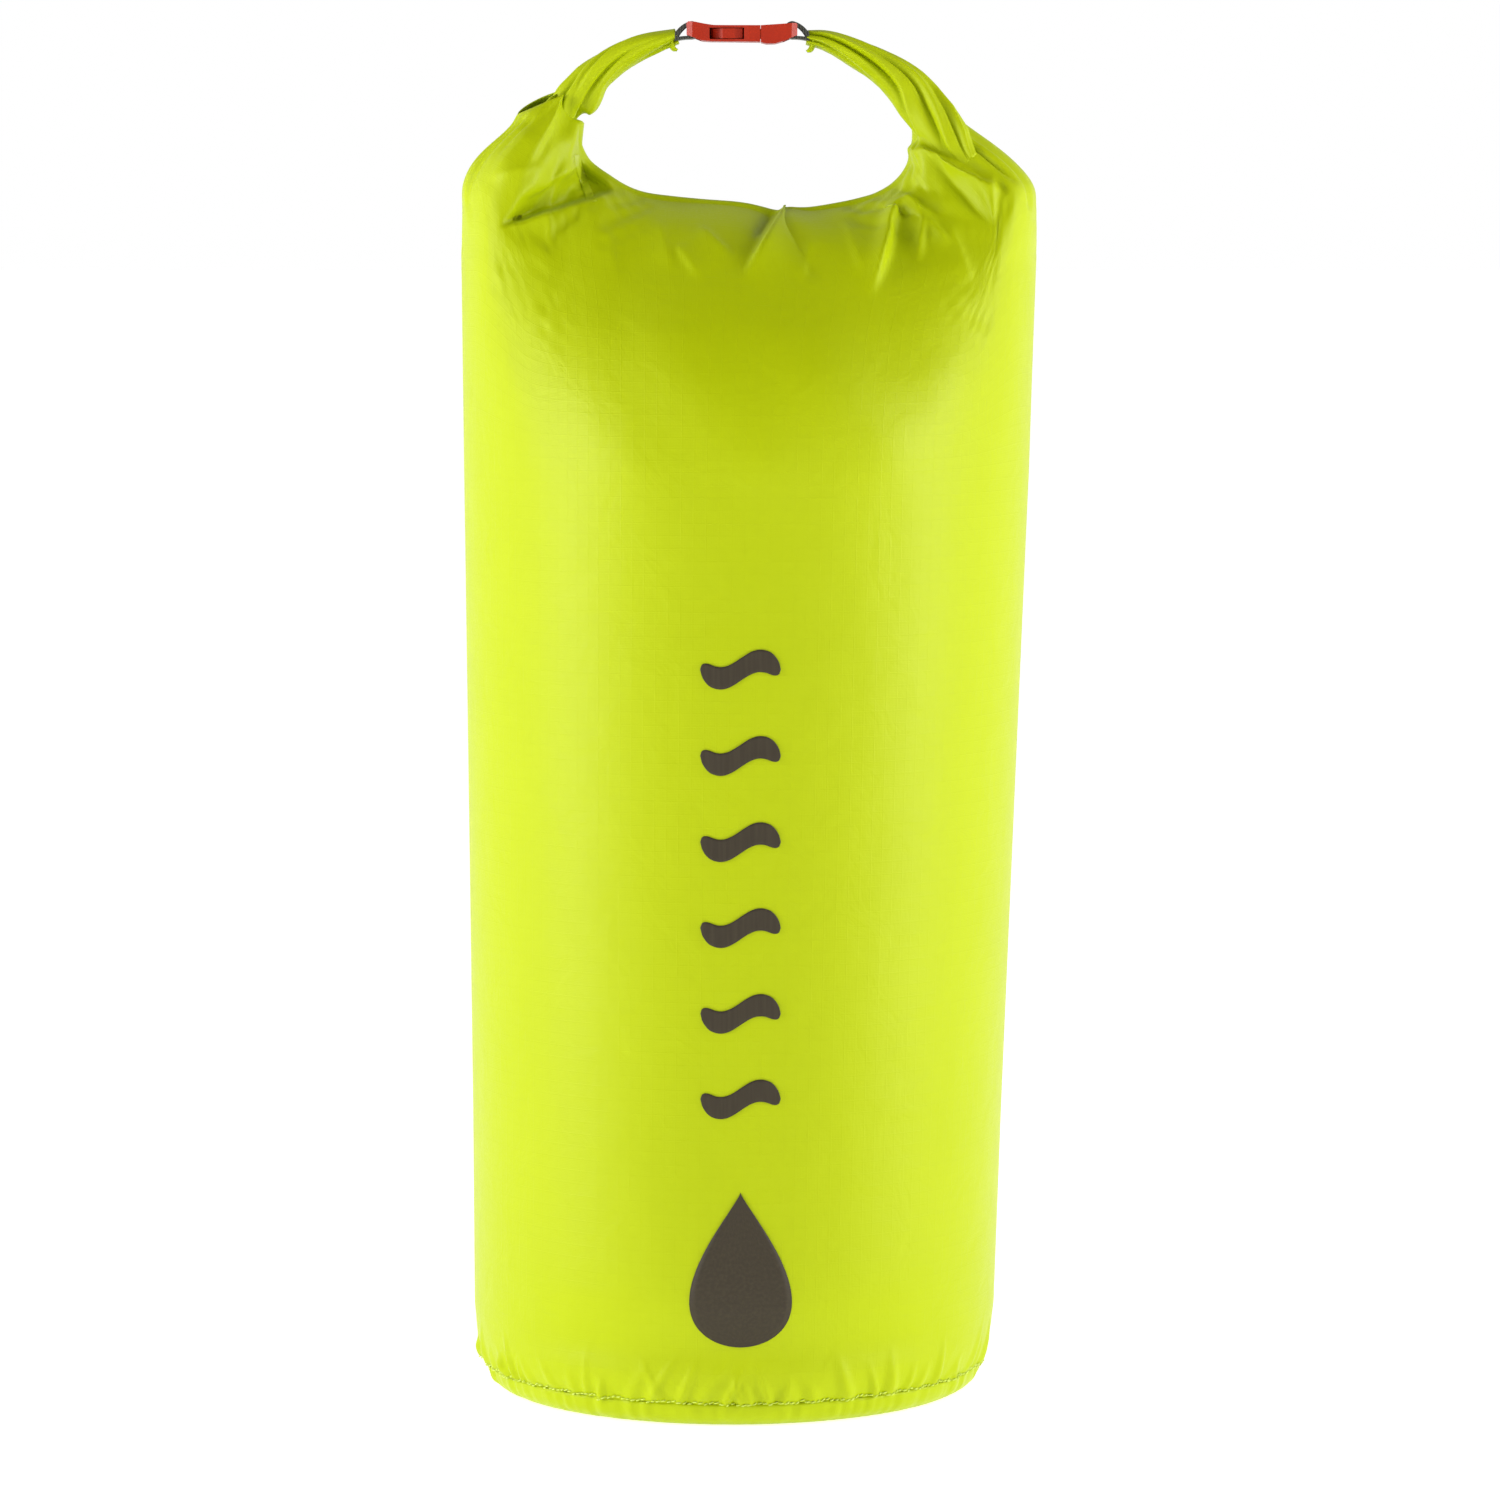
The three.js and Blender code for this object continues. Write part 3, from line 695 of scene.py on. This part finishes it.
def shaped(grid, heights):
    """Settles the filled body to its width and lean at each height, and leaves its closed edge."""
    half_width = np.interp(heights, [0.010, 0.015, 0.022, 0.035, 0.12, 0.26, 0.38, 0.466, 0.51],
                           [0.1062, 0.1088, 0.1108, 0.1122, 0.1138, 0.1172, 0.1202, 0.1225, 0.1215])
    middle = np.interp(heights, [0.010, 0.466], [LEAN, 0.003])
    share = 1 - smoothstep(0.495, 0.545, heights)
    shaped_grid = grid.copy()
    corner = bump(0.114, 0.028, grid[:, :, 0]) * smoothstep(0.495, 0.530, grid[:, :, 2])
    corner *= 1 - smoothstep(TOP_HEIGHT - 0.010, TOP_HEIGHT, heights)[:, None]
    shaped_grid[:, :, 2] -= 0.0085 * corner
    for i in range(1, len(heights) - 1):
        low, high = grid[i, :, 0].min(), grid[i, :, 0].max()
        wider = 2 * half_width[i] / (high - low)
        settled = middle[i] + (grid[i, :, 0] - (low + high) / 2) * wider
        shaped_grid[i, :, 0] += share[i] * (settled - grid[i, :, 0])
        foot = 1 - smoothstep(0.020, 0.045, heights[i])
        shaped_grid[i, :, 1] *= 1 + share[i] * (1 / wider - 1) * 0.8 * (1 - foot)
        shaped_grid[i, :, 1] *= 1 + foot * (wider - 1)
    return shaped_grid


def roll_wrap(edge, flats):
    """The panel's last rows, which go over the roll, down its back and under it, from its edge."""
    rows = []
    for angle in np.linspace(ROLL_PIN_ANGLE, math.radians(-215), 36):
        settle = 0.0007 * math.sin(0.5 * (ROLL_PIN_ANGLE - angle))
        rows.append([roll_point(f, angle, settle * math.sin(150 * f + 2 * angle)) for f in flats])
    rows = np.array(rows)
    fade = (1 - smoothstep(0, 8, np.arange(len(rows))))[:, None, None]
    return rows + fade * (edge - rows[0])


def welded(name, pieces):
    """One piece from several, whose edges meet point to point."""
    joined = bmesh.new()
    for piece in pieces:
        joined.from_mesh(piece.data)
    bmesh.ops.remove_doubles(joined, verts=joined.verts, dist=1e-6)
    mesh = bpy.data.meshes.new(name)
    joined.to_mesh(mesh)
    joined.free()
    mesh.shade_smooth()
    for material in (lime_cloth, inside_cloth):
        mesh.materials.append(material)
    for piece in pieces:
        bpy.data.meshes.remove(piece.data)
    return new_object(name, mesh)


heights = panel_heights()
panel = filled_panel(heights, 40)
panel = shaped(panel, heights)
for _ in range(2):
    panel = twice_as_fine(twice_as_fine(panel, 0, False), 1, True)
    heights = twice_as_fine(heights, 0, False)
plain_wall = (heights > 0.045) & (heights < 0.38)
kept_rows = ~plain_wall | (np.arange(len(heights)) % 2 == 0)
panel, heights = panel[kept_rows], heights[kept_rows]
turns = np.arange(panel.shape[1]) / panel.shape[1]
panel = puckered(panel, heights, turns)
panel = with_pocket(panel, len(heights) - 1)
panel = creased(creased(panel, FRONT_FOLDS, True), BACK_FOLDS, False)
columns_at = np.append(turns, 1) * CIRCUMFERENCE
wall = grid_piece("wall", panel, heights, columns_at, closed=True)
flats = CIRCUMFERENCE * (turns - FRONT_TURN)  # along the flat front, from its middle
wrapped = np.flatnonzero((flats >= -LEFT_THROAT_FLAT) & (flats <= RIGHT_THROAT_FLAT))
wrap = roll_wrap(panel[-1, wrapped], flats[wrapped])
over = grid_piece("over", wrap, TOP_HEIGHT + 0.0009 * np.arange(len(wrap)), columns_at[wrapped])
body = welded("body_cloth", [wall, over])
panel_tree = BVHTree.FromPolygons([v.co for v in body.data.vertices],
                                  [list(p.vertices) for p in body.data.polygons])
thicken(body, CLOTH, inner_material=1)

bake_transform(body)
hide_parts("body_panel", "rolled_mouth")


def panel_surface(turn_at, height):
    """The filled panel's point and normal at a place on the flat cloth."""
    row = np.interp(height, heights, np.arange(len(heights)))
    column = (turn_at % 1) * len(turns)
    i, j = min(int(row), len(heights) - 2), int(column) % len(turns)
    a, b = row - i, column - int(column)
    k = (j + 1) % len(turns)
    corners = [panel[i, j], panel[i, k], panel[i + 1, j], panel[i + 1, k]]
    point = (1 - a) * ((1 - b) * corners[0] + b * corners[1]) + a * ((1 - b) * corners[2] + b * corners[3])
    return point, unit(np.cross(corners[1] - corners[0], corners[2] - corners[0]))


# ---- The gathered ropes of the carry loop ----


def rope_grid(line, thickness, across, forward, grooves, twist, lobe):
    """A gathered rope along a line, with deep twisted folds. At even steps along it, thickness and
    across are its half widths in the loop's plane and across it, and forward is how far it stands in
    front of the plane. Each groove has an angle, a depth and a half width, and the lobe, a
    turned-out bit of cloth, has a place along the rope, an angle and a size."""
    wave = 0.25
    rows, columns = 90, 132
    curve = smooth_curve(line)
    places = lengths_along(curve) / lengths_along(curve)[-1]
    angles = 2 * math.pi * np.arange(columns) / columns
    grid = np.zeros((rows, columns, 3))
    for i in range(rows):
        t = i / (rows - 1)
        in_plane, depth_here, stand = (np.interp(t, np.linspace(0, 1, len(values)), values)
                                       for values in (thickness, across, forward))
        centre, normal = curve_point(t, places, curve)
        shape = np.ones(columns)
        for number, (angle, depth, half_width) in enumerate(grooves):
            place = angle + twist * t + wave * math.sin(5 * t + number)
            off = (angles - place + math.pi) % (2 * math.pi) - math.pi
            strength = depth * (0.55 + 0.45 * math.sin(5 * t + 2.1 * number))
            shape -= strength * np.exp(-np.abs(off / half_width) ** 1.3)
            shape += 0.3 * strength * np.exp(-(((off - 2.2 * half_width) / half_width) ** 2))
        lobe_at, lobe_angle, lobe_size = lobe
        off = (angles - lobe_angle + math.pi) % (2 * math.pi) - math.pi
        shape += lobe_size * bump(lobe_at, 0.20, t) * bump(0, 1.4, off)
        grid[i, :, 0] = centre[0] + normal[0] * in_plane * shape * np.cos(angles)
        grid[i, :, 1] = -stand - depth_here * shape * np.sin(angles)
        grid[i, :, 2] = centre[1] + normal[1] * in_plane * shape * np.cos(angles)
    return grid, lengths_along(curve)[-1] * np.linspace(0, 1, rows)


LEFT_GROOVES = [(0.2, 0.42, 0.16), (1.2, 0.50, 0.13), (2.0, 0.30, 0.12), (3.1, 0.38, 0.18),
                (4.4, 0.45, 0.16), (5.4, 0.30, 0.14)]
RIGHT_GROOVES = [(0.5, 0.36, 0.14), (1.4, 0.52, 0.14), (2.5, 0.34, 0.16), (3.6, 0.42, 0.18),
                 (4.6, 0.36, 0.14), (5.7, 0.44, 0.15)]


def rope(name, line, **shape):
    grid, rows_at = rope_grid(line, **shape)
    piece = grid_piece(name, grid, rows_at, np.linspace(0, 0.055, grid.shape[1] + 1), [rope_cloth],
                       closed=True, caps=(0, -1))
    return piece


rope_left = rope("left_rope", LEFT_ROPE_LINE,
                 thickness=[0.0058, 0.0068, 0.0072, 0.0066, 0.0058, 0.0046, 0.0032],
                 across=[0.0050, 0.0072, 0.0084, 0.0088, 0.0092, 0.0100],
                 forward=[0, 0], grooves=LEFT_GROOVES, twist=-2.4, lobe=(0.22, math.pi, 0.62))
# The right rope's foot lies on the front of its ear and runs out there as one more fold.
rope_right = rope("right_rope", RIGHT_ROPE_LINE,
                  thickness=[0.0040, 0.0088, 0.0104, 0.0100, 0.0084, 0.0070, 0.0060, 0.0048, 0.0032],
                  across=[0.0015, 0.0064, 0.0086, 0.0090, 0.0088, 0.0090, 0.0094, 0.0097, 0.0100],
                  forward=[0.0190, 0.0125, 0.0070, 0.0030, 0.0010, 0, 0, 0, 0],
                  grooves=RIGHT_GROOVES, twist=2.8, lobe=(0.5, 0.3, 0.08))
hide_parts("left_handle_end")
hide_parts("right_handle_root", "right_handle_end")
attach(rope_left, "carry_loop")
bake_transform(rope_right)


def tip_tab(name, side, body_name):
    """The turned-down corner of cloth under a rope's tip, where the webbing is sewn in."""
    x, z = LEFT_ROPE_LINE[-1] if side < 0 else RIGHT_ROPE_LINE[-1]
    line = [(x + side * 0.0034, z - 0.0010), (x + side * 0.0026, z - 0.0032),
            (x + side * 0.0016, z - 0.0052), (x + side * 0.0006, z - 0.0060)]
    curve = smooth_curve(line, 6)
    rows = []
    for i, (px, pz) in enumerate(curve):
        half = 0.0034 - 0.0012 * i / len(curve)
        rows.append([(px + side * 0.0007 * math.cos(4 * s), s * half - 0.004, pz)
                     for s in np.linspace(-1, 1, 13)])
    grid = np.array(rows)
    piece = grid_piece(name, grid, lengths_along(curve), np.linspace(0, 0.008, grid.shape[1]),
                       [lime_cloth])
    thicken(piece, 0.0012, 0.0)
    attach(piece, body_name)


tip_tab("left_tip_tab", -1, "carry_loop")
tip_tab("right_tip_tab", 1, "loop_right")


# ---- Base ----


def base_cloth():
    """The round base: flat on the floor, its rim turned up to the seam and drawn into small puckers."""
    columns = 360
    angles = 2 * math.pi * np.arange(columns) / columns
    random = np.random.default_rng(3)
    pucker = np.zeros(columns)
    for _ in range(60):
        pucker += random.uniform(0.2, 1) * np.sin(random.integers(30, 140) * angles + random.uniform(0, 6))
    pucker *= 0.00035 / np.std(pucker)
    radii = [0.004, 0.03, 0.06, 0.085, 0.094, BASE_FLAT_RADIUS]
    levels = [0.0012, 0.0008, 0.0005, 0.0002, 0.0, 0.0]
    rim = BASE_SEAM_RADIUS + 0.0006 - BASE_FLAT_RADIUS
    for step in range(1, 13):
        angle = step / 12 * math.pi / 2
        radii.append(BASE_FLAT_RADIUS + rim * math.sin(angle))
        levels.append((BASE_SEAM_Z + 0.0004) * (1 - math.cos(angle)))
    grid = np.zeros((len(radii), columns, 3))
    for i, (radius, level) in enumerate(zip(radii, levels)):
        share = smoothstep(BASE_FLAT_RADIUS, BASE_SEAM_RADIUS, radius)
        loose = math.sin(math.pi * share)
        grid[i, :, 0] = (radius + pucker * share) * np.cos(angles) + LEAN
        grid[i, :, 1] = (radius + pucker * share) * np.sin(angles)
        grid[i, :, 2] = level + np.abs(pucker) * loose * 0.8
    around = 2 * math.pi * np.arange(columns + 1) / columns * BASE_SEAM_RADIUS
    piece = grid_piece("base_cloth", grid, radii, around, [lime_cloth, inside_cloth], closed=True,
                       caps=(0,))
    thicken(piece, CLOTH, inner_material=1)
    return piece


base = base_cloth()
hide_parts("base_panel")
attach(base, "bag")


# ---- Seams and stitches ----

SIDE_SEAM_TURN = 0.9555  # as a share of the way round from the left side line
SIDE_SEAM_TOP = 0.5


def panel_patch(heights_at, turns_at, out):
    """A grid of points on the panel, moved out from it."""
    grid = np.zeros((len(heights_at), len(turns_at), 3))
    for i, height in enumerate(heights_at):
        for j, turn_at in enumerate(turns_at):
            point, normal = panel_surface(turn_at, height)
            grid[i, j] = point + normal * out
    return grid


def side_strip(width, low, high, out):
    """A strip on the panel along the side seam, moved out from it."""
    across = np.linspace(-width / 2, width / 2, 7)
    return panel_patch(np.linspace(low, high, 120), SIDE_SEAM_TURN + across / CIRCUMFERENCE, out)


def thread_mesh(name, stitches, radius, material):
    """Stitches as short plump capsules: each has a middle, a direction and a half length."""
    sides = 6
    verts, faces = [], []
    for middle, along, normal, half in stitches:
        across = np.cross(along, normal)
        first = len(verts)
        for share, size in ((-1, 0.25), (-0.75, 0.85), (0, 1), (0.75, 0.85), (1, 0.25)):
            sink = -0.5 * radius * share * share
            for k in range(sides):
                angle = 2 * math.pi * k / sides
                ring = across * math.cos(angle) + normal * math.sin(angle)
                verts.append(middle + along * half * share + normal * sink + ring * radius * size)
        for r in range(4):
            for k in range(sides):
                a, b = first + r * sides + k, first + r * sides + (k + 1) % sides
                faces.append((a, b, b + sides, a + sides))
        faces.append(tuple(first + k for k in reversed(range(sides))))
        faces.append(tuple(first + 4 * sides + k for k in range(sides)))
    mesh = bpy.data.meshes.new(name)
    mesh.from_pydata([tuple(v) for v in verts], [], faces)
    mesh.shade_smooth()
    mesh.materials.append(material)
    return new_object(name, mesh)


def side_seam():
    """The upright seam: the upper cloth laps over the lower, with two rows of stitches."""
    lap_width = 0.012
    lap = side_strip(lap_width, BASE_SEAM_Z + 0.002, SIDE_SEAM_TOP, 0.0005)
    rows_at = np.linspace(BASE_SEAM_Z, SIDE_SEAM_TOP, len(lap))
    piece = grid_piece("side_seam", lap, rows_at, np.linspace(0, lap_width, lap.shape[1]), [lime_cloth])
    thicken(piece, 0.0005)
    stitches = []
    pitch = 0.0028
    for edge in (-0.0045, 0.0045):
        for height in np.arange(BASE_SEAM_Z + 0.004, SIDE_SEAM_TOP - 0.004, pitch):
            point, normal = panel_surface(SIDE_SEAM_TURN + edge / CIRCUMFERENCE, height)
            above, _ = panel_surface(SIDE_SEAM_TURN + edge / CIRCUMFERENCE, height + pitch)
            stitches.append((point + normal * 0.0006, unit(above - point), normal, 0.00105))
    thread = thread_mesh("side_seam_thread", stitches, 0.00022, lime_thread)
    return piece, thread


def inner_tape(name, grid):
    piece = grid_piece(name, grid, np.linspace(0, 0.4, len(grid)), np.linspace(0, 0.02, grid.shape[1]),
                       [seam_tape])
    thicken(piece, TAPE, 0.0)
    return piece


def base_stitches():
    """One row of slanted stitches round the base seam, each a little different in length, slant and
    height.
    """
    random = np.random.default_rng(21)
    stitches = []
    count = 300
    for number in range(count):
        place = number / count
        height = BASE_SEAM_Z + 0.0016 + 0.0003 * random.normal()
        point, normal = panel_surface(place, height)
        beside, _ = panel_surface(place + 0.0005, height)
        along = unit(unit(beside - point) + np.array([0, 0, random.uniform(0.15, 0.5)]))
        stitches.append((point + normal * 0.0005, along, normal, random.uniform(0.0008, 0.0012)))
    return thread_mesh("base_seam_thread", stitches, 0.00034, lime_thread)


seam, seam_thread = side_seam()
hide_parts("side_seam_lap")
side_tape = inner_tape("side_seam_tape_inside",
                       side_strip(0.020, BASE_SEAM_Z + 0.016, SIDE_SEAM_TOP, -0.0012))
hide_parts("side_seam_tape")
base_tape_rows = np.linspace(BASE_SEAM_Z + 0.0005, BASE_SEAM_Z + 0.013, 5)
base_tape = inner_tape("base_seam_tape_inside",
                       panel_patch(base_tape_rows, np.arange(181) / 180, -0.0022))
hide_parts("base_seam_tape")
base_thread = base_stitches()
for piece in (base_tape, base_thread):
    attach(piece, "bag")
for piece in (seam, seam_thread, side_tape):
    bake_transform(piece)


# ---- Print ----

PRINT_X = -0.0005
PRINT_LIFT = 0.0005  # in front of the cloth
BLUNT_END = 0.0002  # a stroke's half width at its ends
WAVE_COUNT = 6
FIRST_WAVE_Z = 0.140
WAVE_PITCH = 0.0355


def laid_on_front(name, grid_xz, material):
    """A thin patch: its points in X and Z are carried back onto the front of the panel."""
    rows, columns = len(grid_xz), len(grid_xz[0])
    grid = np.zeros((rows, columns, 3))
    for i, row in enumerate(grid_xz):
        for j, (x, z) in enumerate(row):
            hit = panel_tree.ray_cast(Vector((x, -1, z)), Vector((0, 1, 0)))[0]
            grid[i, j] = hit - Vector((0, PRINT_LIFT, 0))
    piece = grid_piece(name, grid, grid[:, 0, 2], grid[rows // 2, :, 0], [material])
    thicken(piece, TAPE)
    return piece


def printed(name, grid_xz):
    piece = laid_on_front(name, grid_xz, dark_ink)
    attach(piece, "bag")


# The seam tape where it comes up over the roll beside the left ear: its middle, top to bottom, and
# its half width at each point, in X and Z.
ROLL_TAPE = [(-0.0702, 0.5275, 0.0010), (-0.0688, 0.5210, 0.0014), (-0.0662, 0.5140, 0.0018),
             (-0.0634, 0.5080, 0.0022)]


def drop_rows(middle_z, height, half_width):
    """A water drop: a round foot and a pointed head."""
    rows = []
    for t in np.linspace(0, 1, 48):
        angle = math.pi * t
        wide = max(BLUNT_END, half_width * math.sin(angle) * (math.sin(angle / 2) ** 1.3) * 1.3)
        z = middle_z + height / 2 * math.cos(angle)
        rows.append([(PRINT_X + wide * s, z) for s in np.linspace(-1, 1, 15)])
    return rows[::-1]


def wave_rows(middle_z, half_length, half_thickness, swing):
    """A wavy stroke with round ends."""
    columns = np.linspace(-1, 1, 61)
    rows = []
    for s in np.linspace(-1, 1, 9):
        row = []
        for t in columns:
            x = half_length * t
            end = max(0.0, (abs(x) - (half_length - half_thickness)) / half_thickness)
            thick = max(BLUNT_END, half_thickness * math.sqrt(max(0.0, 1 - end * end)))
            row.append((PRINT_X + x, middle_z + swing * math.sin(math.pi * t) + s * thick))
        rows.append(row)
    return rows


def tape_rows():
    middles = smooth_curve([(x, z) for x, z, _ in ROLL_TAPE], 8)
    halves = np.interp(np.linspace(0, 1, len(middles)), np.linspace(0, 1, len(ROLL_TAPE)),
                       [half for _, _, half in ROLL_TAPE])
    return [[(x + half * s, z) for s in np.linspace(-1, 1, 7)] for (x, z), half in zip(middles, halves)]


printed("print_drop", drop_rows(middle_z=0.068, height=0.066, half_width=0.0225))
for number in range(WAVE_COUNT):
    printed(f"print_wave_{number + 1}", wave_rows(FIRST_WAVE_Z + WAVE_PITCH * number, half_length=0.0165,
                                                  half_thickness=0.0046, swing=0.0036))
roll_tape = laid_on_front("roll_seam_tape", tape_rows()[::-1], shown_tape)
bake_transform(roll_tape)


# ---- Buckle, webbing and hem band, from the CAD ----


def finish_cad(node, material, bevel):
    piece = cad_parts[node]
    piece.data.materials.clear()
    piece.data.materials.append(material)
    edge = piece.modifiers.new("soft_edges", "BEVEL")
    edge.width = bevel
    edge.segments = 3
    edge.limit_method = "ANGLE"
    edge.angle_limit = math.radians(30)
    edge.harden_normals = True


for node in ("buckle_female", "buckle_male", "front_prong", "back_prong"):
    finish_cad(node, orange_plastic, 0.0005)
for node in ("left_webbing", "right_webbing"):
    finish_cad(node, grey_webbing, 0.0002)
finish_cad("hem_band", grey_webbing, 0.0001)


# ---- Floor, light and camera ----


DIM_GLOW = 0.62
SIDE_GLOW = 0.98
SOFTBOX_AIM = Vector((0, 0, 0.3))
CAMERA_DOWN = math.radians(5.42)


def softbox(name, place, size, power):
    lamp = bpy.data.lights.new(name, "AREA")
    lamp.shape = "RECTANGLE"
    lamp.size, lamp.size_y = size
    lamp.energy = power
    piece = new_object(name, lamp)
    piece.location = place
    piece.rotation_euler = (SOFTBOX_AIM - Vector(place)).to_track_quat("-Z", "Y").to_euler()


def pale_floor():
    material, tree = new_material("pale_floor", Roughness=0.9, Specular_IOR_Level=0.1,
                                  Emission_Color=(1, 1, 1, 1), Emission_Strength=0.62)
    mottle = noise(tree, add_node(tree, "TexCoord").outputs["Object"], 3.0)
    covered(material,
            Base_Color=blend_colours(tree, mottle, (0.95, 0.95, 0.95, 1), (0.93, 0.93, 0.93, 1)))
    reach = 30
    corners = np.array([[(-1, -1, 0), (1, -1, 0)], [(-1, 1, 0), (1, 1, 0)]]) * float(reach)
    piece = grid_piece("floor", corners, [0, 1], [0, 1], [material])


def studio_world():
    """White behind everything. As light, it is brightest from the two sides and dim from above."""
    world = bpy.data.worlds.new("studio")
    bpy.context.scene.world = world
    world.use_nodes = True
    tree = world.node_tree
    tree.nodes.clear()
    split = add_node(tree, "SeparateXYZ", {"Vector": add_node(tree, "TexCoord").outputs["Generated"]})
    steep = maths(tree, "POWER", maths(tree, "ABSOLUTE", split.outputs["X"]), 2.0)
    above = maths(tree, "MAXIMUM", split.outputs["Z"], 0.0)
    level = maths(tree, "MULTIPLY_ADD", above, -DIM_GLOW, DIM_GLOW)
    strength = maths(tree, "MULTIPLY_ADD", steep, SIDE_GLOW, level)
    light = add_node(tree, "Background", {"Color": (1, 1, 1, 1), "Strength": strength})
    seen = add_node(tree, "Background", {"Color": (1, 1, 1, 1), "Strength": 1.0})
    first_sight = add_node(tree, "LightPath").outputs["Is Camera Ray"]
    mixed = add_node(tree, "MixShader", {0: first_sight, 1: light.outputs[0], 2: seen.outputs[0]})
    output = add_node(tree, "OutputWorld")
    tree.links.new(mixed.outputs[0], output.inputs["Surface"])


pale_floor()
studio_world()
softbox("left_softbox", (-1.7, -0.55, 0.5), size=(0.40, 1.6), power=30)
softbox("right_softbox", (1.7, -0.45, 0.5), size=(0.40, 1.6), power=27)

bpy.context.scene.view_settings.view_transform = "Standard"
camera = new_object("camera", bpy.data.cameras.new("camera"))
camera.location = (0.0034, -2.6, 0.52)
camera.rotation_euler = (math.pi / 2 - CAMERA_DOWN, 0, 0)
camera.data.lens = 146.1
camera.data.sensor_width = 36
bpy.context.scene.camera = camera
